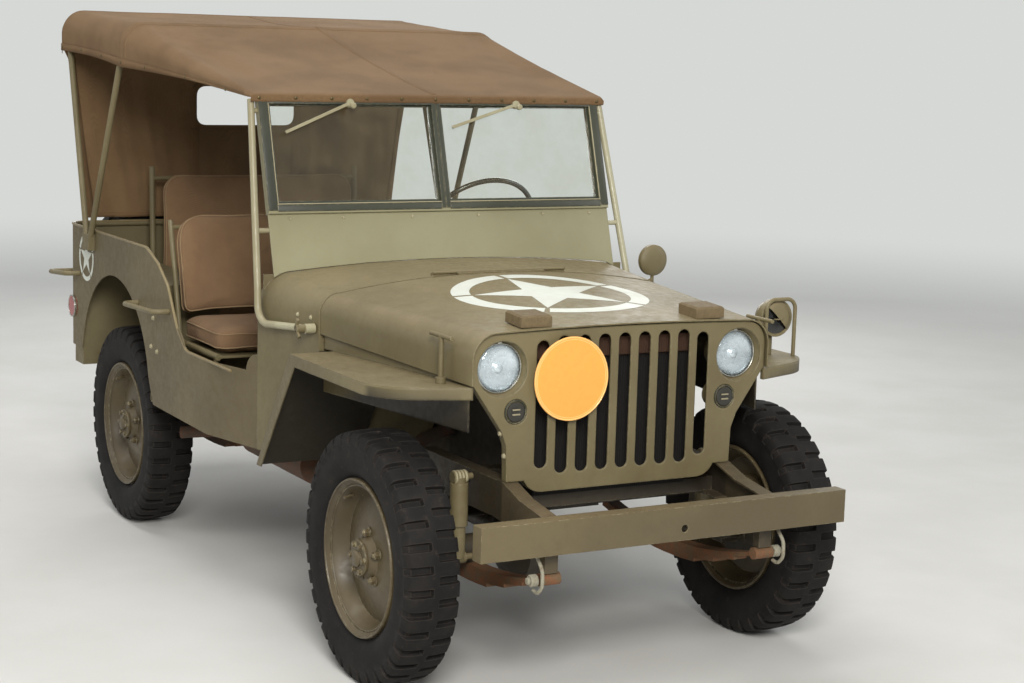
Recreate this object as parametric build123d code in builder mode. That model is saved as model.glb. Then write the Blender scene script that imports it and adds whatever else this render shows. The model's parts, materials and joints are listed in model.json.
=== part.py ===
"""Open army 4x4 car with a canvas top, in millimetres.

Origin on the ground under the middle of the car, +Y to the rear, +X to the car's left, +Z up.
Lengthwise places are stations, distances behind the front axle, which station() turns into Y.
"""

import os
from math import atan2, cos, degrees, hypot, pi, radians, sin

from build123d import *

os.makedirs("parts", exist_ok=True)

# Driving dimensions of the whole car
WHEELBASE = 2032
TRACK = 1245
FRONT_OVERHANG = 512
REAR_OVERHANG = 568
SPARE_OUT = 120
TYRE_R = 353
TYRE_HALF = 80
FIT = 0.3
SHEET = 5
BODY_END = WHEELBASE + REAR_OVERHANG
LENGTH = FRONT_OVERHANG + BODY_END + SPARE_OUT + TYRE_HALF
FRONT_AXLE_Y = -LENGTH / 2 + FRONT_OVERHANG
AXLE_Z = TYRE_R
WHEEL_X = TRACK / 2


def station(behind_front_axle):
    return FRONT_AXLE_Y + behind_front_axle


def save(piece, name):
    piece.part.label = name
    export_step(piece.part, f"parts/{name}.step")


def side_plane(x):
    """Sketch plane across the car: local x is +Y, local y is +Z, and it extrudes to +X."""
    return Plane(origin=(x, 0, 0), x_dir=(0, 1, 0), z_dir=(1, 0, 0))


def cross_plane(y):
    """Sketch plane seen from the front: local x is +X, local y is +Z, and it extrudes to the front."""
    return Plane(origin=(0, y, 0), x_dir=(1, 0, 0), z_dir=(0, -1, 0))


def side_points(*points):
    """(station, z) pairs as sketch points of side_plane."""
    return [(station(along), z) for along, z in points]


def tube(points, bend, radius):
    """Round tube along straight runs joined by arcs."""
    with BuildLine() as path:
        if bend:
            FilletPolyline(*points, radius=bend)
        else:
            Polyline(*points)
    with BuildSketch(Plane(origin=path.line @ 0, z_dir=path.line % 0)) as disc:
        Circle(radius)
    sweep(disc.sketch, path=path.line)


def rod(start, end, radius):
    """Straight round bar between two points."""
    first = Vector(*start)
    run = Vector(*end) - first
    with BuildSketch(Plane(origin=first, z_dir=run)) as disc:
        Circle(radius)
    extrude(disc.sketch, amount=run.length)


def block(x, y, z, mode=Mode.ADD):
    """Box between two corners, given as (low, high) pairs."""
    with Locations(((x[0] + x[1]) / 2, (y[0] + y[1]) / 2, (z[0] + z[1]) / 2)):
        Box(x[1] - x[0], y[1] - y[0], z[1] - z[0], mode=mode)


# Leaf springs: ends seen from the axle, and the shock absorbers beside them
SPRING_X = 345
SPRING_WIDTH = 45
AXLE_TUBE_R = 36
SPRING_TOP_Z = AXLE_Z - AXLE_TUBE_R - 4
LEAF_THICK = 11
LEAVES = [
    # leaf from the top, share of the spring's length
    (0, 1.0),
    (1, 0.78),
    (2, 0.56),
    (3, 0.34),
]
SPRINGS = [
    # axle station, front end, rear end, rise of the ends over the middle
    (0, -450, 460, 66),
    (WHEELBASE, -520, 520, 66),
]
HANGER_LONG = 28
HANGER_WIDTH = 40
SHACKLE_R = 17
SHOCK_R = 26
SHOCK_X = 412
SHOCKS = [
    # station and z of the lower eye, station and z of the upper eye
    (-62, 342, -62, 572),
    (WHEELBASE + 72, 344, WHEELBASE + 144, 466),
]
SHOCK_PIN_R = 9
SHOCK_ROD_R = 21
SHOCK_SLEEVE = 0.6
SHOCK_EYE_R = 17
SHOCK_EYE_HALF = 22

# Frame: two channel rails with a kick-up over the front axle, and six cross members
RAIL_OUT_X = 372
RAIL_WIDTH = 45
RAIL_WALL = 6
RAIL_LOW_Z = 400
RAIL_TOP_Z = 498
KICK_LOW_Z = 485
KICK_TOP_Z = 590
HORN_LOW_Z = 455
HORN_TOP_Z = 540
TAIL_LOW_Z = 430
RAIL_START = -466
RAIL_END = BODY_END - 10
CROSS_X = RAIL_OUT_X - RAIL_WALL
CROSS_MEMBERS = [
    # station, length along the car, low z, high z
    (-410, 60, 462, 522),
    (-120, 90, 488, 530),
    (WHEELBASE - 472, 70, 410, 480),
    (RAIL_END - 45, 80, 436, 492),
]

with BuildPart() as frame:
    with BuildSketch(side_plane(RAIL_OUT_X)) as rail_profile:
        Polygon(
            *side_points(
                (RAIL_START, HORN_LOW_Z),
                (-200, KICK_LOW_Z),
                (200, KICK_LOW_Z),
                (520, RAIL_LOW_Z),
                (WHEELBASE - 332, RAIL_LOW_Z),
                (WHEELBASE - 182, TAIL_LOW_Z),
                (RAIL_END, TAIL_LOW_Z),
                (RAIL_END, RAIL_TOP_Z),
                (560, RAIL_TOP_Z),
                (250, KICK_TOP_Z),
                (-235, KICK_TOP_Z),
                (-330, HORN_TOP_Z + 20),
                (RAIL_START, HORN_TOP_Z),
            ),
            align=None,
        )
    extrude(amount=-RAIL_WIDTH)
    with BuildSketch(side_plane(CROSS_X)):
        add(rail_profile.sketch_local)
        offset(amount=-RAIL_WALL, mode=Mode.REPLACE)
    extrude(amount=-RAIL_WIDTH, mode=Mode.SUBTRACT)
    mirror(about=Plane.YZ)
    for axle_at, front_end, rear_end, rise in SPRINGS:
        for end in (front_end, rear_end):
            at_y = station(axle_at + end)
            for side in (-1, 1):
                block(
                    (side * SPRING_X - HANGER_WIDTH / 2, side * SPRING_X + HANGER_WIDTH / 2),
                    (at_y - HANGER_LONG / 2, at_y + HANGER_LONG / 2),
                    (SPRING_TOP_Z + rise - LEAF_THICK / 2 + SHACKLE_R + FIT, TAIL_LOW_Z + 40),
                )
    for at, long, low, high in CROSS_MEMBERS:
        block((-CROSS_X, CROSS_X), (station(at) - long / 2, station(at) + long / 2), (low, high))
save(frame, "frame")

# Front bumper: a channel with closed ends, open to the rear, with the starting-crank hole
BUMPER_HALF = 582
BUMPER_LOW_Z = 453
BUMPER_TOP_Z = 546
BUMPER_DEPTH = FRONT_OVERHANG + RAIL_START
BUMPER_WALL = 5
CRANK_HOLE_R = 10.5
CRANK_HOLE_X = 40
CRANK_HOLE_Z = 486
BUMPER_FRONT_Y = station(-FRONT_OVERHANG)
BUMPER_BACK_Y = BUMPER_FRONT_Y + BUMPER_DEPTH

with BuildPart() as front_bumper:
    block((-BUMPER_HALF, BUMPER_HALF), (BUMPER_FRONT_Y, BUMPER_BACK_Y), (BUMPER_LOW_Z, BUMPER_TOP_Z))
    block(
        (-BUMPER_HALF + BUMPER_WALL, BUMPER_HALF - BUMPER_WALL),
        (BUMPER_FRONT_Y + BUMPER_WALL, BUMPER_BACK_Y + 1),
        (BUMPER_LOW_Z + BUMPER_WALL, BUMPER_TOP_Z - BUMPER_WALL),
        mode=Mode.SUBTRACT,
    )
    for side in (-1, 1):
        block(
            (side * RAIL_OUT_X - RAIL_WIDTH * (side > 0), side * RAIL_OUT_X + RAIL_WIDTH * (side < 0)),
            (BUMPER_FRONT_Y + BUMPER_WALL, BUMPER_BACK_Y),
            (BUMPER_LOW_Z, BUMPER_TOP_Z),
        )
    with Locations(Location((CRANK_HOLE_X, BUMPER_FRONT_Y, CRANK_HOLE_Z), (90, 0, 0))):
        Hole(CRANK_HOLE_R, depth=BUMPER_WALL * 2)
save(front_bumper, "front_bumper")

# Axles: tube with the differential housing to the car's right
DIFF_X = -165
DIFF_R = 120
DIFF_HALF = 42
PAD_LONG = 60
PAD_GAP = 0.6
KINGPIN_X = 540
BALL_R = 42
BALL_HALF_Z = 55
REAR_TUBE_END_X = 585
PINION_R = 36
PINION_LONG = 190
DIFF_PROFILE = [
    # distance from the housing's middle, radius
    (-125, AXLE_TUBE_R),
    (-DIFF_HALF - 40, 62),
    (-DIFF_HALF, DIFF_R),
    (DIFF_HALF, DIFF_R),
    (DIFF_HALF + 40, 62),
    (125, AXLE_TUBE_R),
]


def axle(axle_y, half_length, pinion_dir):
    """Axle tube, differential housing, pinion nose and spring pads, revolved about its own line."""
    with BuildSketch(Plane(origin=(0, axle_y, AXLE_Z), x_dir=(1, 0, 0), z_dir=(0, -1, 0))) as half:
        Polygon(
            (-half_length, 0),
            (-half_length, AXLE_TUBE_R),
            *[(DIFF_X + off, r) for off, r in DIFF_PROFILE],
            (half_length, AXLE_TUBE_R),
            (half_length, 0),
            align=None,
        )
    revolve(half.sketch, axis=Axis((0, axle_y, AXLE_Z), (1, 0, 0)))
    rod((DIFF_X, axle_y, AXLE_Z), (DIFF_X, axle_y + pinion_dir * PINION_LONG, AXLE_Z), PINION_R)
    for side in (-1, 1):
        block(
            (side * SPRING_X - SPRING_WIDTH / 2, side * SPRING_X + SPRING_WIDTH / 2),
            (axle_y - PAD_LONG / 2, axle_y + PAD_LONG / 2),
            (SPRING_TOP_Z + PAD_GAP, AXLE_Z),
        )


with BuildPart() as front_axle:
    axle(station(0), KINGPIN_X, 1)
    for side in (-1, 1):
        with BuildSketch(Plane.XY.offset(AXLE_Z - BALL_HALF_Z)):
            with Locations((side * KINGPIN_X, station(0))):
                Circle(BALL_R)
        extrude(amount=2 * BALL_HALF_Z)
save(front_axle, "front_axle")

BRAKE_PLATE_R = 125
BRAKE_PLATE_IN_X = 590
BRAKE_PLATE_THICK = 6
SPINDLE_R = 20
SPINDLE_END_X = 660

with BuildPart() as rear_axle:
    axle(station(WHEELBASE), REAR_TUBE_END_X, -1)
    for side in (-1, 1):
        rod(
            (side * REAR_TUBE_END_X, station(WHEELBASE), AXLE_Z),
            (side * (BRAKE_PLATE_IN_X + BRAKE_PLATE_THICK), station(WHEELBASE), AXLE_Z),
            BRAKE_PLATE_R,
        )
        rod(
            (side * BRAKE_PLATE_IN_X, station(WHEELBASE), AXLE_Z),
            (side * SPINDLE_END_X, station(WHEELBASE), AXLE_Z),
            SPINDLE_R,
        )
save(rear_axle, "rear_axle")

# Leaf springs under the axles, each leaf a bent strip
with BuildPart() as suspension:
    for side in (-1, 1):
        for axle_at, front_end, rear_end, rise in SPRINGS:
            with BuildSketch(side_plane(side * SPRING_X - SPRING_WIDTH / 2)):
                for leaf, share in LEAVES:
                    top = SPRING_TOP_Z - leaf * LEAF_THICK
                    lift = rise * share * share
                    ends = [station(axle_at + front_end * share), station(axle_at + rear_end * share)]
                    with BuildLine():
                        upper = ThreePointArc(
                            (ends[0], top + lift), (station(axle_at), top), (ends[1], top + lift)
                        )
                        lower = ThreePointArc(
                            (ends[0], top + lift - LEAF_THICK - 1),
                            (station(axle_at), top - LEAF_THICK - 1),
                            (ends[1], top + lift - LEAF_THICK - 1),
                        )
                        Line(upper @ 0, lower @ 0)
                        Line(upper @ 1, lower @ 1)
                    make_face()
            extrude(amount=SPRING_WIDTH)
            for end in (front_end, rear_end):
                eye_z = SPRING_TOP_Z + rise - LEAF_THICK / 2
                rod(
                    (side * SPRING_X - SPRING_WIDTH / 2 - 8, station(axle_at + end), eye_z),
                    (side * SPRING_X + SPRING_WIDTH / 2 + 8, station(axle_at + end), eye_z),
                    SHACKLE_R,
                )
save(suspension, "suspension")

# Shock absorbers: a tube in a wider sleeve, with an eye and a pin at each end
with BuildPart() as shock_absorbers:
    for side in (-1, 1):
        for low_at, low_z, top_at, top_z in SHOCKS:
            low = Vector(side * SHOCK_X, station(low_at), low_z)
            top = Vector(side * SHOCK_X, station(top_at), top_z)
            rod(low, top, SHOCK_ROD_R)
            rod(low + (top - low) * (1 - SHOCK_SLEEVE), top - (top - low).normalized() * SHOCK_EYE_R, SHOCK_R)
            for eye, inner in ((low, SPRING_X + SPRING_WIDTH / 2), (top, RAIL_OUT_X)):
                eye_half = Vector(SHOCK_EYE_HALF, 0, 0)
                rod(eye - eye_half, eye + eye_half, SHOCK_EYE_R)
                rod((side * (inner + FIT), eye.Y, eye.Z), (eye.X, eye.Y, eye.Z), SHOCK_PIN_R)
save(shock_absorbers, "shock_absorbers")

# Steering knuckles: a yoke round the axle end, brake plate, spindle and steering arm
YOKE_PLATE = 13
YOKE_REACH = 34
YOKE_OUT = (BALL_R + 2, BRAKE_PLATE_IN_X - KINGPIN_X)
YOKE_HALF_Z = BALL_HALF_Z + FIT
ARM_BACK = 150
ARM_IN = 0
ARM_LOW_Z = AXLE_Z + YOKE_HALF_Z + YOKE_PLATE
ARM_THICK = 12
ARM_HALF_WIDTH = 15
TIE_PIN_R = 7
TIE_ROD_R = 11
TIE_EYE_R = 17
TIE_EYE_TALL = 22

for side, name in ((1, "left"), (-1, "right")):
    with BuildPart() as knuckle:
        yoke_x = sorted((side * (KINGPIN_X - YOKE_REACH), side * (KINGPIN_X + YOKE_OUT[1])))
        for low in (AXLE_Z - YOKE_HALF_Z - YOKE_PLATE, AXLE_Z + YOKE_HALF_Z):
            block(yoke_x, (station(-YOKE_REACH), station(YOKE_REACH)), (low, low + YOKE_PLATE))
        block(
            sorted((side * (KINGPIN_X + YOKE_OUT[0]), side * (KINGPIN_X + YOKE_OUT[1]))),
            (station(-YOKE_REACH), station(YOKE_REACH)),
            (AXLE_Z - YOKE_HALF_Z - YOKE_PLATE, ARM_LOW_Z),
        )
        rod(
            (side * BRAKE_PLATE_IN_X, station(0), AXLE_Z),
            (side * (BRAKE_PLATE_IN_X + BRAKE_PLATE_THICK), station(0), AXLE_Z),
            BRAKE_PLATE_R,
        )
        rod(
            (side * BRAKE_PLATE_IN_X, station(0), AXLE_Z),
            (side * SPINDLE_END_X, station(0), AXLE_Z),
            SPINDLE_R,
        )
        with BuildSketch(Plane.XY.offset(ARM_LOW_Z - FIT)):
            with BuildLine():
                Polyline(
                    (side * (KINGPIN_X - ARM_HALF_WIDTH), station(-YOKE_REACH)),
                    (side * (KINGPIN_X + YOKE_REACH), station(-YOKE_REACH)),
                    (side * (KINGPIN_X + YOKE_REACH), station(YOKE_REACH)),
                    (side * (KINGPIN_X - ARM_IN + ARM_HALF_WIDTH), station(ARM_BACK + ARM_HALF_WIDTH)),
                    (side * (KINGPIN_X - ARM_IN - ARM_HALF_WIDTH), station(ARM_BACK + ARM_HALF_WIDTH)),
                    close=True,
                )
            make_face()
        extrude(amount=ARM_THICK + FIT)
        rod(
            (side * (KINGPIN_X - ARM_IN), station(ARM_BACK), ARM_LOW_Z + ARM_THICK / 2),
            (side * (KINGPIN_X - ARM_IN), station(ARM_BACK), ARM_LOW_Z - TIE_EYE_TALL),
            TIE_PIN_R,
        )
    save(knuckle, f"knuckle_{name}")

TIE_Z = ARM_LOW_Z - TIE_EYE_TALL / 2 - 2

with BuildPart() as tie_rod:
    tie_half = KINGPIN_X - ARM_IN
    rod((-tie_half, station(ARM_BACK), TIE_Z), (tie_half, station(ARM_BACK), TIE_Z), TIE_ROD_R)
    with BuildSketch(Plane.XY.offset(TIE_Z - TIE_EYE_TALL / 2 + 2)):
        with Locations((-tie_half, station(ARM_BACK)), (tie_half, station(ARM_BACK))):
            Circle(TIE_EYE_R)
    extrude(amount=TIE_EYE_TALL - 2)
    with BuildSketch(Plane.XY.offset(TIE_Z - TIE_EYE_TALL)):
        with Locations((-tie_half, station(ARM_BACK)), (tie_half, station(ARM_BACK))):
            Circle(TIE_PIN_R + FIT)
    extrude(amount=2 * TIE_EYE_TALL, mode=Mode.SUBTRACT)
save(tie_rod, "tie_rod")

# Wheels and tyres, also the spare; profile points are (outboard of the tyre's middle, radius)
RIM_R = 221
BEAD_R = 203
RIM_SEAT = 56
RIM_HALF = 67.5
TREAD_HALF = 70
GROOVE_R = 339
LUGS = 26
LUG_SHARE = 0.52
HUB_OUT = 64
DRUM_R = 127
DRUM_IN = 24
SPINDLE_OUT = SPINDLE_END_X - WHEEL_X
WHEEL_PROFILE = [
    (HUB_OUT, 0),
    (HUB_OUT, 38),
    (34, 62),
    (30, 100),
    (8, 180),
    (52, 200),
    (RIM_HALF, 214),
    (RIM_HALF, RIM_R),
    (RIM_SEAT + FIT, RIM_R),
    (RIM_SEAT + FIT, BEAD_R),
    (-RIM_SEAT - FIT, BEAD_R),
    (-RIM_SEAT - FIT, RIM_R),
    (-RIM_HALF, RIM_R),
    (-RIM_HALF, 214),
    (-40, 190),
    (0, 176),
    (6, DRUM_R),
    (-DRUM_IN, DRUM_R),
    (-DRUM_IN, DRUM_R - 9),
    (6, DRUM_R - 9),
    (6, 44),
    (-18, 44),
    (-18, SPINDLE_R + FIT),
    (SPINDLE_OUT + 2, SPINDLE_R + FIT),
    (SPINDLE_OUT + 2, 0),
]
TYRE_PROFILE = [
    (RIM_SEAT, BEAD_R + FIT),
    (RIM_SEAT, RIM_R + 3),
    (TYRE_HALF, 276),
    (TREAD_HALF + 3, GROOVE_R - 8),
    (-TREAD_HALF - 3, GROOVE_R - 8),
    (-TYRE_HALF, 276),
    (-RIM_SEAT, RIM_R + 3),
    (-RIM_SEAT, BEAD_R + FIT),
]
SPARE_X = -265
SPARE_Z = 795
SPARE_Y = station(BODY_END + SPARE_OUT)
PLACES = [
    # name, x, y, z, outboard direction
    ("front_left", WHEEL_X, station(0), AXLE_Z, (1, 0, 0)),
    ("front_right", -WHEEL_X, station(0), AXLE_Z, (-1, 0, 0)),
    ("rear_left", WHEEL_X, station(WHEELBASE), AXLE_Z, (1, 0, 0)),
    ("rear_right", -WHEEL_X, station(WHEELBASE), AXLE_Z, (-1, 0, 0)),
    ("spare", SPARE_X, SPARE_Y, SPARE_Z, (0, 1, 0)),
]


def lug_ring(phase):
    """Outline of one row of tread lugs with a lug at the bottom when phase is 0."""
    pitch = 2 * pi / LUGS
    half = pitch * LUG_SHARE / 2
    top = TYRE_R / cos(half)
    points = []
    for lug in range(LUGS):
        middle = -pi / 2 + (lug + phase) * pitch
        for angle, r in (
            (middle - half * 1.15, GROOVE_R),
            (middle - half, top),
            (middle + half, top),
            (middle + half * 1.15, GROOVE_R),
        ):
            points.append((r * cos(angle), r * sin(angle)))
    return points


for name, x, y, z, outboard in PLACES:
    out = Vector(*outboard)
    spin = Axis((x, y, z), outboard)
    half_section = Plane(origin=(x, y, z), x_dir=outboard, z_dir=out.cross(Vector(0, 0, 1)))
    with BuildPart() as wheel:
        with BuildSketch(half_section):
            Polygon(*WHEEL_PROFILE, align=None)
        revolve(axis=spin)
    save(wheel, f"wheel_{name}")
    with BuildPart() as tyre:
        with BuildSketch(half_section):
            Polygon(*TYRE_PROFILE, align=None)
        revolve(axis=spin)
        for phase, direction in ((0, 1), (0.5, -1)):
            across = out * direction
            with BuildSketch(Plane(origin=(x, y, z), x_dir=across.cross(Vector(0, 0, -1)), z_dir=across)):
                Polygon(*lug_ring(phase), align=None)
                Circle(GROOVE_R - 14, mode=Mode.SUBTRACT)
            extrude(amount=TREAD_HALF)
    save(tyre, f"tyre_{name}")

# Power plant and drive line, plain masses seen from below and through the grille
ENGINE = ((-165, 165), (station(10), station(478)), (500, 840))
GEARBOX = ((-125, 95), (station(478), station(860)), (430, 640))
TRANSFER = ((-235, 60), (station(860), station(1060)), (300, 490))
ENGINE_BEARER = (station(60), station(110))
DRIVE_R = 25
SHAFT_GAP = 0.8

with BuildPart() as powertrain:
    block(*ENGINE)
    block((-90, 90), ENGINE[1], (430, 500))
    bearer_x = RAIL_OUT_X - RAIL_WIDTH - FIT
    block((-bearer_x, bearer_x), ENGINE_BEARER, (505, 555))
    block(*GEARBOX)
    block(*TRANSFER)
save(powertrain, "powertrain")

with BuildPart() as propeller_shafts:
    rod(
        (DIFF_X, station(PINION_LONG + SHAFT_GAP), AXLE_Z),
        (DIFF_X, TRANSFER[1][0] - SHAFT_GAP, AXLE_Z + 20),
        DRIVE_R,
    )
    rod(
        (DIFF_X, TRANSFER[1][1] + SHAFT_GAP, AXLE_Z + 20),
        (DIFF_X, station(WHEELBASE - PINION_LONG - SHAFT_GAP), AXLE_Z),
        DRIVE_R,
    )
save(propeller_shafts, "propeller_shafts")

MUFFLER_X = -450
MUFFLER_Z = 425
MUFFLER_R = 62
TAIL_PIPE_OUT = 190
FRONT_PIPE_X = -262
FLOOR_Z = 510
EXHAUST_R = 20
UNDER_RAIL_Z = RAIL_LOW_Z - EXHAUST_R - 12

with BuildPart() as exhaust:
    rod((MUFFLER_X, station(820), MUFFLER_Z), (MUFFLER_X, station(1330), MUFFLER_Z), MUFFLER_R)
    block(
        (MUFFLER_X - 6, MUFFLER_X + 6),
        (station(1060), station(1100)),
        (MUFFLER_Z + MUFFLER_R - 2, FLOOR_Z - SHEET - FIT),
    )
    tube(
        [
            (MUFFLER_X, station(1300), MUFFLER_Z),
            (MUFFLER_X, station(1440), MUFFLER_Z),
            (MUFFLER_X - TAIL_PIPE_OUT, station(1560), MUFFLER_Z - 20),
        ],
        50,
        EXHAUST_R,
    )
    tube(
        [
            (MUFFLER_X, station(850), MUFFLER_Z),
            (MUFFLER_X, station(770), UNDER_RAIL_Z),
            (FRONT_PIPE_X, station(650), UNDER_RAIL_Z),
            (FRONT_PIPE_X, station(480), 560),
            (ENGINE[0][0] - 11.4, station(440), 600),
        ],
        30,
        EXHAUST_R,
    )
save(exhaust, "exhaust")

# Body plan: half-widths at stations; the sides taper forwards from the crease
COWL_FRONT = 487
COWL_FRONT_X = 600
DOOR_FRONT = 825
DOOR_FRONT_X = 657
CREASE = 1085
BODY_X = 725
CORNER_R = 80
SILL_Z = 494
BODY_TOP_Z = 1033
DOOR_SILL_Z = 734
DOOR_TOP_END = WHEELBASE - 352
DOOR_CORNER_R = 56
DOOR_HEEL = 395
DOOR_HEEL_R = 110
DOOR_REAR = [
    # distance before the door's top end, z
    (308, 800),
    (217, 928),
    (120, 990),
]
TAIL_BOTTOM_Z = 575
ARCH_R = 388
ARCH_Z = 505
ARCH_FOOT = WHEELBASE - 428
ARCH_FRONT_Z = 590
TAIL_HALF = BODY_X - CORNER_R
WHEELHOUSE_X = 470
WHEELHOUSE_START = WHEELBASE - 392
WHEELHOUSE_TOP_Z = 905


def plan_outline():
    """Closed plan of the body behind the cowl's front edge."""
    with BuildLine() as outline:
        Polyline((-COWL_FRONT_X, station(COWL_FRONT)), (COWL_FRONT_X, station(COWL_FRONT)))
        for side in (-1, 1):
            Polyline(
                (side * COWL_FRONT_X, station(COWL_FRONT)),
                (side * DOOR_FRONT_X, station(DOOR_FRONT)),
                (side * BODY_X, station(CREASE)),
                (side * BODY_X, station(BODY_END - CORNER_R)),
            )
            RadiusArc(
                (side * BODY_X, station(BODY_END - CORNER_R)),
                (side * TAIL_HALF, station(BODY_END)),
                -side * CORNER_R,
            )
        Line((-TAIL_HALF, station(BODY_END)), (TAIL_HALF, station(BODY_END)))
    make_face(outline.line)


def side_profile(front, rear):
    """Side panel seen from the side, with the wheel arch and the door opening cut out."""
    arch_rise = TAIL_BOTTOM_Z - ARCH_Z
    arch_rear = WHEELBASE + (ARCH_R**2 - arch_rise**2) ** 0.5
    arch_front = WHEELBASE - (ARCH_R**2 - (ARCH_FRONT_Z - ARCH_Z) ** 2) ** 0.5
    door_heel = DOOR_TOP_END - DOOR_HEEL
    door_rear = [(DOOR_TOP_END - before, z) for before, z in DOOR_REAR]
    with BuildLine() as outline:
        Polyline(
            *side_points(
                (arch_front, ARCH_FRONT_Z),
                (ARCH_FOOT, SILL_Z + 6),
                (front, SILL_Z),
                (front, DOOR_SILL_Z + DOOR_CORNER_R),
            )
        )
        RadiusArc(
            *side_points((front, DOOR_SILL_Z + DOOR_CORNER_R), (front + DOOR_CORNER_R, DOOR_SILL_Z)),
            DOOR_CORNER_R,
        )
        Line(*side_points((front + DOOR_CORNER_R, DOOR_SILL_Z), (door_heel, DOOR_SILL_Z)))
        RadiusArc(*side_points((door_heel, DOOR_SILL_Z), door_rear[0]), DOOR_HEEL_R)
        Polyline(
            *side_points(
                *door_rear,
                (DOOR_TOP_END, BODY_TOP_Z),
                (rear, BODY_TOP_Z),
                (rear, TAIL_BOTTOM_Z),
                (arch_rear, TAIL_BOTTOM_Z),
            )
        )
        ThreePointArc(
            *side_points(
                (arch_rear, TAIL_BOTTOM_Z), (WHEELBASE, ARCH_Z + ARCH_R), (arch_front, ARCH_FRONT_Z)
            )
        )
    make_face(outline.line)


for side, name in ((1, "left"), (-1, "right")):
    with BuildPart() as body_side:
        with BuildSketch(Plane.XY.offset(SILL_Z - 20)):
            plan_outline()
            offset(amount=-SHEET, mode=Mode.SUBTRACT)
        extrude(amount=BODY_TOP_Z - SILL_Z + 40)
        with BuildSketch(side_plane(side * TAIL_HALF)):
            side_profile(DOOR_FRONT, BODY_END + 10)
        extrude(amount=side * 200, mode=Mode.INTERSECT)
    save(body_side, f"body_side_{name}")

# Tail panel with the spare wheel's pressed carrier, then the wheel housings and tool boxes
TAIL_RAIL_R = 9
CARRIER_FOOT_R = 150
CARRIER_BORE_R = 40
CARRIER_REACH = SPARE_OUT - DRUM_IN - FIT
CARRIER_PROFILE = [
    # distance from the tail panel, radius
    (-1, CARRIER_FOOT_R),
    (SHEET, CARRIER_FOOT_R),
    (CARRIER_REACH, DRUM_R),
    (CARRIER_REACH, CARRIER_BORE_R),
    (CARRIER_REACH - SHEET, CARRIER_BORE_R),
    (CARRIER_REACH - SHEET, DRUM_R - SHEET),
    (-1, CARRIER_FOOT_R - 2 * SHEET),
]

with BuildPart() as tail_panel:
    block(
        (-TAIL_HALF, TAIL_HALF),
        (station(BODY_END - SHEET), station(BODY_END)),
        (FLOOR_Z - SHEET, BODY_TOP_Z - TAIL_RAIL_R),
    )
    rod(
        (-TAIL_HALF, station(BODY_END) - TAIL_RAIL_R, BODY_TOP_Z - TAIL_RAIL_R),
        (TAIL_HALF, station(BODY_END) - TAIL_RAIL_R, BODY_TOP_Z - TAIL_RAIL_R),
        TAIL_RAIL_R,
    )
    carrier_foot = (SPARE_X, station(BODY_END), SPARE_Z)
    with BuildSketch(Plane(origin=carrier_foot, x_dir=(0, 1, 0), z_dir=(1, 0, 0))):
        Polygon(*CARRIER_PROFILE, align=None)
    revolve(axis=Axis(carrier_foot, (0, 1, 0)))
save(tail_panel, "tail_panel")

HOUSE_GAP = 0.5
with BuildPart() as wheelhouses:
    house_x = (WHEELHOUSE_X, BODY_X - SHEET - HOUSE_GAP)
    house_y = (station(WHEELHOUSE_START), station(BODY_END - CORNER_R))
    block(house_x, house_y, (FLOOR_Z, WHEELHOUSE_TOP_Z))
    block(
        (house_x[0] + SHEET, house_x[1] + 1),
        (house_y[0] + SHEET, station(WHEELBASE + ARCH_R)),
        (FLOOR_Z - 1, WHEELHOUSE_TOP_Z - SHEET),
        mode=Mode.SUBTRACT,
    )
    block(
        (house_x[0] + SHEET, house_x[1] - SHEET),
        (station(WHEELBASE + ARCH_R) + SHEET, house_y[1] - SHEET),
        (FLOOR_Z + SHEET, WHEELHOUSE_TOP_Z - SHEET),
        mode=Mode.SUBTRACT,
    )
    mirror(about=Plane.YZ)
save(wheelhouses, "wheelhouses")

# Floor with the sloping toe board and the tunnel over the gearbox
APRON_TOP = 431
APRON_BOTTOM = 678
FENDER_Z = 857
APRON_BOTTOM_Z = 480
APRON_SLOPE = (APRON_BOTTOM - APRON_TOP) / (FENDER_Z - APRON_BOTTOM_Z)
TOE_GAP = 8
TUNNEL_HALF = 150
TUNNEL_TOP_Z = 672
TUNNEL_END = 1120


def apron_station(z):
    """Station of the sloping apron's rear face at a height."""
    return APRON_TOP + (FENDER_Z - z) * APRON_SLOPE


TOE_TOP_Z = FENDER_Z - (COWL_FRONT - TOE_GAP - APRON_TOP) / APRON_SLOPE

COLUMN_TOP = (345, 1285, 1126)
COLUMN_LEAN = 36
COLUMN_R = 19
COLUMN_DIR = (0, cos(radians(COLUMN_LEAN)), sin(radians(COLUMN_LEAN)))
COLUMN_PAST_TOE = 64
COLUMN_TO_TOE = (COLUMN_TOP[1] - apron_station(COLUMN_TOP[2]) - TOE_GAP) / (
    COLUMN_DIR[1] + COLUMN_DIR[2] * APRON_SLOPE
)
COLUMN_LONG = COLUMN_TO_TOE + COLUMN_PAST_TOE


def on_column(distance):
    """Point on the steering column's line, measured from the steering wheel's centre."""
    return (
        COLUMN_TOP[0],
        station(COLUMN_TOP[1]) + COLUMN_DIR[1] * distance,
        COLUMN_TOP[2] + COLUMN_DIR[2] * distance,
    )


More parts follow.
